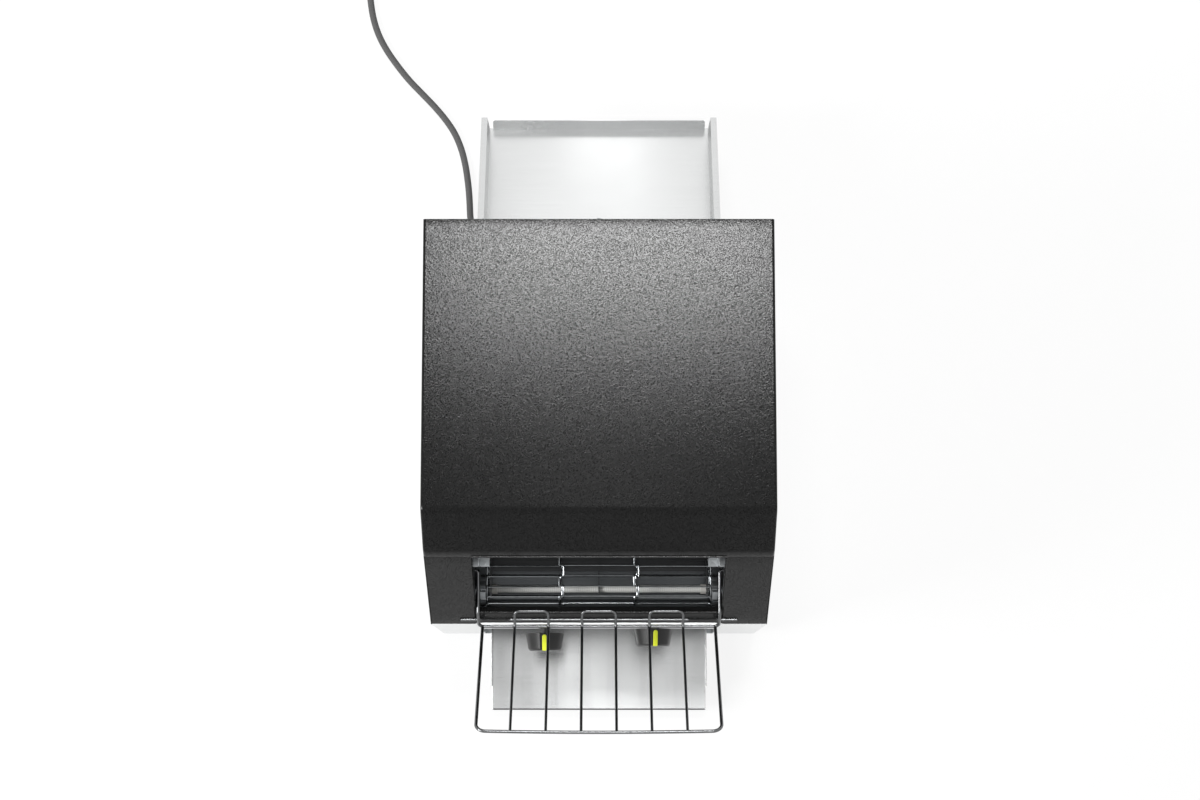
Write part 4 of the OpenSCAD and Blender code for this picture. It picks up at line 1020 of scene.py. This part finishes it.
# ----- feed rack -----
@dataclass
class FeedRack:
    """Chromed wire rack: hooked arms, front frame, three loops, tie rod and two stubs on the bezel.

    Distances named up are measured up the mouth's slope. ahead is how far the arms lie in front of it, and
    hook, dip and tip are the y and z of the pivot and of the loops' lowest point and end.
    """

    hood: Hood
    frame_d: float = 3.6
    carry_d: float = 3.0
    half: float = 127.5
    arm: float = 131.5
    pin: float = 137.7
    stub: float = 151.5
    reach: float = 117.0
    bar_z: float = 352.0
    loop: float = 36.8
    pitch: float = 73.5
    bow: float = 1.4
    ahead: float = 3.8
    bend_up: float = 24.0
    foot_up: float = 1.5
    stub_up: float = 10.0
    stub_back: float = 0.9
    tie_at: float = 0.45
    tie_end: float = 6.0
    corner_r: float = 10.0
    loop_r: float = 5.0
    arm_r: tuple[float, ...] = (3.0, 8.0, 6.0)
    hook: tuple[float, float] = (57.0, 254.0)
    dip: tuple[float, float] = (-3.0, 238.0)
    tip: tuple[float, float] = (12.8, 248.5)

    def slope_yz(self, u: float, v: float) -> list[float]:
        """y and z of a point u up the slope and v behind it."""
        return self.hood.on_slope(np.array(u), np.array(v), np.array(0.0))[1:].tolist()

    def sag(self, x: Array) -> Array:
        """How far the front bar stands out at x: bow (1 - (x / half)^2)."""
        return self.bow * (1 - (x / self.half) ** 2)

    def bowed(self, corner: Array) -> Array:
        """Mirrors one leg and its corner, and bows the bar between them."""
        bar = np.linspace(corner[-2], corner[-2] * [-1, 1, 1], 14)
        line = np.concatenate([corner[:-2], bar, (corner[:-2] * [-1, 1, 1])[::-1]])
        line[:, 1] -= self.sag(line[:, 0])
        return line

    @staticmethod
    def spots(xs: list[float], sides: list[Any]) -> Array:
        """Points from their x and their y and z."""
        return np.column_stack([xs, np.array(sides, float)])

    def arms(self) -> list[Patch]:
        """The hooked arms on their pivot pins with the foot bar between them, and the frame over the front."""
        bend, foot = self.slope_yz(self.bend_up, -self.ahead), self.slope_yz(self.foot_up, -self.ahead)
        top = (-self.reach, self.bar_z)
        xs = [-self.pin, *(3 * [-self.arm]), *(3 * [self.arm]), self.pin]
        pivot = self.spots(xs, [self.hook, self.hook, bend, foot, foot, bend, self.hook, self.hook])
        corner = rounded(self.spots([-self.half, -self.half, 0.0], [foot, top, top]), self.corner_r, 8)
        lines = (rounded(pivot, [*self.arm_r, *self.arm_r[::-1]], 6), self.bowed(corner))
        return [wire(line, self.frame_d / 2, 14) for line in lines]

    def bars(self) -> list[Patch]:
        """The two stubs on the bezel, the three loops that carry the bread, and the tie rod under them."""
        rest, top = self.slope_yz(self.stub_up, self.stub_back - self.carry_d / 2), (-self.reach, self.bar_z)
        lines = [self.spots([side * (self.arm - 3), side * self.stub], [rest, rest]) for side in (-1, 1)]
        for middle in (-self.pitch, 0.0, self.pitch):
            xs = 3 * [middle - self.loop / 2] + 3 * [middle + self.loop / 2]
            loop = rounded(self.spots(xs, [top, self.dip, self.tip, self.tip, self.dip, top]), self.loop_r, 6)
            loop[[0, -1], 1] -= self.sag(loop[[0, -1], 0])
            lines.append(loop)
        dip, tip = np.array(self.dip), np.array(self.tip)
        tie = dip + (tip - dip) * self.tie_at - [0.0, self.carry_d * 0.9]
        tie_x = self.pitch + self.loop / 2 + self.tie_end
        lines.append(self.spots([-tie_x, tie_x], [tie, tie]))
        return [wire(line, self.carry_d / 2, 12) for line in lines]

    def build(self) -> None:
        """Joins every wire in one piece."""
        rack = make_object("feed_rack_wires", self.arms() + self.bars())
        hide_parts("feed_rack")
        settle(rack, DARK_REFLECTION_CHROME, "feed_rack")


# ----- tray and chute -----
@dataclass
class FoldedSheet:
    """Stainless tray or chute: a floor ground one way, and flanges ground along their length and painted darker
    than the floor as their shade.

    node is the solid it is copied from, which is also the body it rides on. slope is the floor's fall in
    degrees, edge the radius of its edges, and hem the radius of its rounded front edge, where it has one.
    A face is a flange where its normal . up is below flat.
    """

    name: str
    node: str
    floor: Finish
    slope: float
    edge: float = 0.35
    hem: float = 0.0
    flat: float = 0.97
    sheet: float = 1.0

    def build(self) -> None:
        """Softens the edges of the solid, and gives the flanges their own finish: a darker copy of the steel,
        which is painted shade.
        """
        piece = settle(rounded_copy(self.name, self.node, self.edge, 2), self.floor, self.node)
        piece.data.materials.append(SHADED_FLANGE_STEEL.material())
        normals = np.empty(len(piece.data.polygons) * 3)
        piece.data.polygons.foreach_get("normal", normals)
        fall = math.radians(self.slope)
        up = np.array([0.0, math.sin(fall), math.cos(fall)])
        # faces that are not floor get the darker steel: painted shade
        side = (np.abs(normals.reshape(-1, 3) @ up) < self.flat).astype(np.int32)
        piece.data.polygons.foreach_set("material_index", side * (len(piece.data.materials) - 1))
        piece.data.update()
        if self.hem:
            self.front_edge(piece)

    def front_edge(self, piece: Object) -> None:
        """Rounds off the sheared front edge with a half-sunk rod from corner to corner, in dark steel that
        paints the thin shade along the edge.
        """
        spots = np.empty(len(piece.data.vertices) * 3)
        piece.data.vertices.foreach_get("co", spots)
        spots = spots.reshape(-1, 3) / MM - [0.0, FRONT_Y, 0.0]
        front = spots[spots[:, 1] < spots[:, 1].min() + self.sheet / 2]
        y, z = front[0, 1] + self.hem, front[:, 2].max() - self.sheet / 2
        ends = front[:, 0].min() + self.sheet, front[:, 0].max() - self.sheet
        line = np.linspace([ends[0], y, z], [ends[1], y, z], 5)
        rod = make_object(f"{self.name}_edge", [wire(line, self.hem, 12)])
        settle(rod, EDGE_SHADE_STEEL, self.node)


# ----- knobs -----
@dataclass
class Knob:
    """Twelve-sided moulded knob with softened edges, and the lime pointer in its slot."""

    side: str
    edge: float = 0.8
    pointer_edge: float = 0.9

    def build(self) -> None:
        """Rounds the edges of the knob's own solid, so that the pointer's slot stays true."""
        body = f"{self.side}_knob"
        settle(rounded_copy(f"{body}_grip", body, self.edge, 3), KNOB_PLASTIC, body)
        insert = rounded_copy(f"{self.side}_pointer_insert", f"{self.side}_pointer", self.pointer_edge, 3)
        settle(insert, LIME, body)


# ----- whole -----
def keep_nodes() -> None:
    """Gives every CAD node that stays its finish."""
    for finish, nodes in KEPT:
        for node in nodes.split():
            dress(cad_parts[node], finish)
        log.info("%s: %s", finish.name, nodes)


def main() -> None:
    """Builds the scene in order."""
    logging.basicConfig(level=logging.INFO, format="%(message)s")
    studio = Studio()
    studio.camera()
    MainsLead().build()
    studio.build()
    keep_nodes()
    hood = Hood()
    hood.build()
    LadderBelt().build()
    FeedRack(hood).build()
    FoldedSheet("tray_sheet", "front_tray", TRAY_STEEL, 0.0, hem=0.9).build()
    FoldedSheet("chute_sheet", "rear_chute", CHUTE_STEEL, 21.6).build()
    Knob("heat").build()
    Knob("speed").build()


if __name__ == "__main__":
    main()
